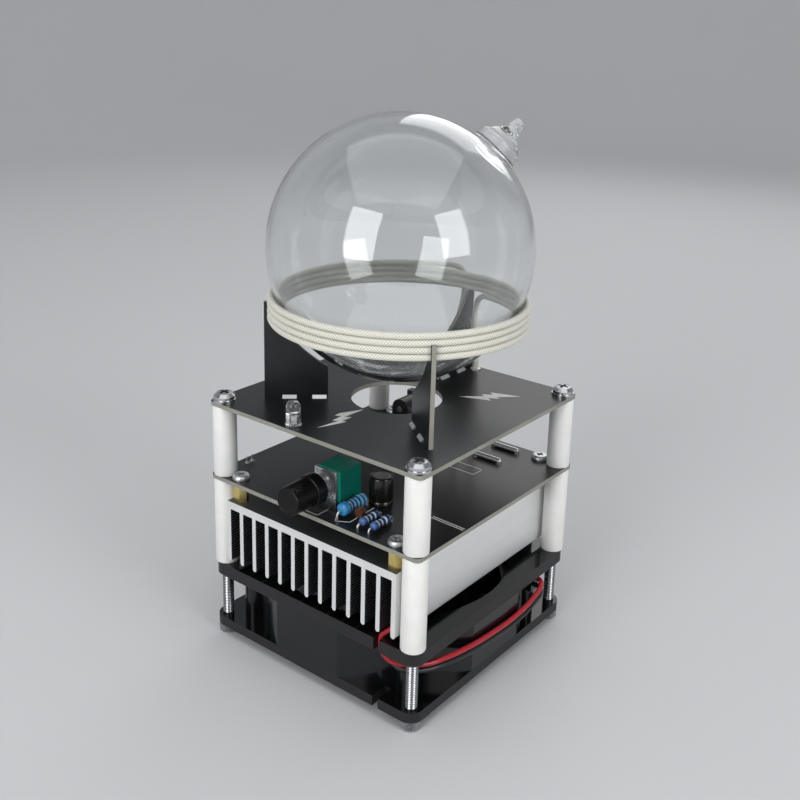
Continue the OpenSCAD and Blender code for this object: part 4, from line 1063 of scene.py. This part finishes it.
class PLASMA_LAMP_OT_indicator(bpy.types.Operator):
    """Cast the clear indicator round its frame"""

    bl_idname = "plasma_lamp.indicator"
    bl_label = "Indicator"

    # Left side, right side and top of the frame's two plates from the middle of the foot, in millimetres.
    PLATES = [(-1.75, -0.75, 4.4), (-0.45, 1.75, 4.2)]
    PLATE_T = 0.7
    PLATE_FOOT = 0.15
    # The flange, as steps from its radius and rises from its foot, and the lens inside it.
    FLANGE = [(-0.1, 0.0), (0.0, 0.1), (0.0, 0.9), (-0.1, 1.0), (-0.38, 1.05)]
    LENS_IN = 0.4
    # Radius and height of the reflector cup, and its place beside the middle.
    CUP = [(0.7, 4.0), (1.3, 5.1), (1.15, 5.1), (0.6, 4.4)]
    CUP_X = 0.55

    def execute(self, context):
        low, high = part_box("indicator_led")
        x, y, z = (low.x + high.x) / 2, (low.y + high.y) / 2, low.z
        flange = (high.x - low.x) / 2 / MM
        r, top = flange - self.LENS_IN, (high.z - low.z) / MM
        profile = [(flange + a, b) for a, b in self.FLANGE]
        for degrees in range(0, 85, 8):
            turn = math.radians(degrees)
            profile.append((r * math.cos(turn), top - r + r * math.sin(turn)))
        lens = turned([(a * MM, b * MM) for a, b in profile + [(0.06, top)]], 56, 50)
        lens.location = (x, y, z)
        settle(lens, "indicator_lens", STACK, epoxy_material(), ["indicator_led"])
        half = self.PLATE_T / 2 * MM
        parts = [block((x + a * MM, y - half, z + self.PLATE_FOOT * MM), (x + b * MM, y + half, z + h * MM),
                       0.08 * MM) for a, b, h in self.PLATES]
        cup = turned([(a * MM, z + b * MM) for a, b in self.CUP], 24)
        cup.location = (x + self.CUP_X * MM, y, 0)
        silver = metal_material("silvered_copper", "#F0F0EE", 0.2, 1 * MM, 0.01 * MM)
        settle(joined(parts + [cup]), "indicator_frame", STACK, silver)
        return {"FINISHED"}


class PLASMA_LAMP_OT_stage(bpy.types.Operator):
    """Set the paper bowl, the lights and the camera"""

    bl_idname = "plasma_lamp.stage"
    bl_label = "Stage"

    # Name, place, width and height in metres, and watts.
    LAMPS = [
        ("key_box", (0.07, -1.0, 0.52), 0.5, 0.75, 6.0),
        ("fill_box", (0.995, -0.1, 0.52), 0.45, 0.65, 4.3),
        ("top_box", (0.1, -0.15, 2.1), 2.8, 2.8, 23.0),
        ("back_box", (-0.3, 0.95, 0.7), 0.7, 0.7, 2.0),
    ]
    AIM = Vector((0, 0, 0.11))
    AIR_COLOUR = "#E6E8EB"
    AIR_STRENGTH = 0.35
    # The bowl of paper, in metres: a small disc in the middle, the floor, the curve and the wall.
    HUB_R = 0.01
    FLOOR_R = 1.3
    CURVE_R = 0.8
    WALL_TOP = 2.4
    # The camera: place in metres, turn in degrees, lens and sensor in millimetres.
    CAMERA_AT = (0.23426, -0.29838, 0.24416)
    CAMERA_TURN = (73.89, -1.46, 38.51)
    LENS = 47.77
    SENSOR = 36
    SHIFT_Y = -0.12
    NEAR = 0.01

    def bowl(self, colour):
        """Studio paper: a round floor that curves up into a wall on all sides."""
        profile = [(self.FLOOR_R + self.CURVE_R * math.sin(math.radians(a)),
                    self.CURVE_R * (1 - math.cos(math.radians(a)))) for a in range(0, 91, 6)]
        profile.append((self.FLOOR_R + self.CURVE_R, self.WALL_TOP))
        clear_selection()
        bpy.ops.mesh.primitive_circle_add(vertices=96, radius=self.HUB_R, fill_type="NOTHING")
        paper = bpy.context.object
        edit_all()
        bpy.ops.mesh.select_mode(type="EDGE")
        draw_up(profile, self.HUB_R, 0.0)
        bpy.ops.mesh.select_all(action="DESELECT")
        bpy.ops.object.mode_set(mode="OBJECT")
        for edge in paper.data.edges:
            edge.select = all(paper.data.vertices[v].co.length < 2 * self.HUB_R for v in edge.vertices)
        bpy.ops.object.mode_set(mode="EDIT")
        bpy.ops.mesh.edge_face_add()
        close_up(inside=True)
        bpy.ops.object.shade_smooth()
        paper.name = "studio_paper"
        finish, tree, shader = new_material("studio_paper", Roughness=0.8)
        mottled(tree, shader, 0.4, shade(colour, 0.985), colour)
        paper.data.materials.append(finish)

    def execute(self, context):
        scene = context.scene
        self.bowl(tuple(scene.lamp_colours.floor))
        for name, place, wide, high, watts in self.LAMPS:
            clear_selection()
            bpy.ops.object.light_add(type="AREA", location=place)
            lamp = context.object
            lamp.name = name
            lamp.data.shape = "RECTANGLE"
            lamp.data.size = wide
            lamp.data.size_y = high
            lamp.data.energy = watts
            lamp.rotation_euler = (self.AIM - Vector(place)).to_track_quat("-Z", "Y").to_euler()
        world = bpy.data.worlds.new("studio_air")
        world.use_nodes = True
        sky = world.node_tree.nodes["Background"]
        sky.inputs["Color"].default_value = linear(self.AIR_COLOUR)
        sky.inputs["Strength"].default_value = self.AIR_STRENGTH
        scene.world = world
        bpy.ops.object.camera_add(location=self.CAMERA_AT)
        camera = context.object
        camera.rotation_euler = Euler([math.radians(a) for a in self.CAMERA_TURN])
        camera.data.lens = self.LENS
        camera.data.sensor_width = self.SENSOR
        camera.data.shift_y = self.SHIFT_Y
        camera.data.clip_start = self.NEAR
        scene.camera = camera
        scene.view_settings.view_transform = "Standard"
        return {"FINISHED"}


class PLASMA_LAMP_PT_panel(bpy.types.Panel):
    """Lists the lamp's operators"""

    bl_idname = "PLASMA_LAMP_PT_panel"
    bl_label = "Plasma Lamp"
    bl_space_type = "VIEW_3D"
    bl_region_type = "UI"
    bl_category = "Plasma Lamp"

    def draw(self, context):
        for group in (context.scene.lamp_sizes, context.scene.lamp_colours):
            box = self.layout.box()
            for key in group.__annotations__:
                box.prop(group, key)
        for step in STEPS:
            self.layout.operator(step.bl_idname)


STEPS = (
    PLASMA_LAMP_OT_metalwork,
    PLASMA_LAMP_OT_decks,
    PLASMA_LAMP_OT_posts,
    PLASMA_LAMP_OT_fan,
    PLASMA_LAMP_OT_fan_leads,
    PLASMA_LAMP_OT_control,
    PLASMA_LAMP_OT_board_parts,
    PLASMA_LAMP_OT_indicator,
    PLASMA_LAMP_OT_winding,
    PLASMA_LAMP_OT_bulb,
    PLASMA_LAMP_OT_stage,
)
CLASSES = (LampSizes, LampColours) + STEPS + (PLASMA_LAMP_PT_panel,)


def register():
    """Adds the classes and the two groups of settings to Blender."""
    for cls in CLASSES:
        bpy.utils.register_class(cls)
    bpy.types.Scene.lamp_sizes = bpy.props.PointerProperty(type=LampSizes)
    bpy.types.Scene.lamp_colours = bpy.props.PointerProperty(type=LampColours)


def unregister():
    """Takes them out again."""
    del bpy.types.Scene.lamp_colours
    del bpy.types.Scene.lamp_sizes
    for cls in reversed(CLASSES):
        bpy.utils.unregister_class(cls)


def main():
    """Makes the lamp and its stage."""
    register()
    bpy.ops.plasma_lamp.metalwork()
    bpy.ops.plasma_lamp.decks()
    bpy.ops.plasma_lamp.posts()
    bpy.ops.plasma_lamp.fan()
    bpy.ops.plasma_lamp.fan_leads()
    bpy.ops.plasma_lamp.control()
    bpy.ops.plasma_lamp.board_parts()
    bpy.ops.plasma_lamp.indicator()
    bpy.ops.plasma_lamp.winding()
    bpy.ops.plasma_lamp.bulb()
    bpy.ops.plasma_lamp.stage()


if __name__ == "__main__":
    main()
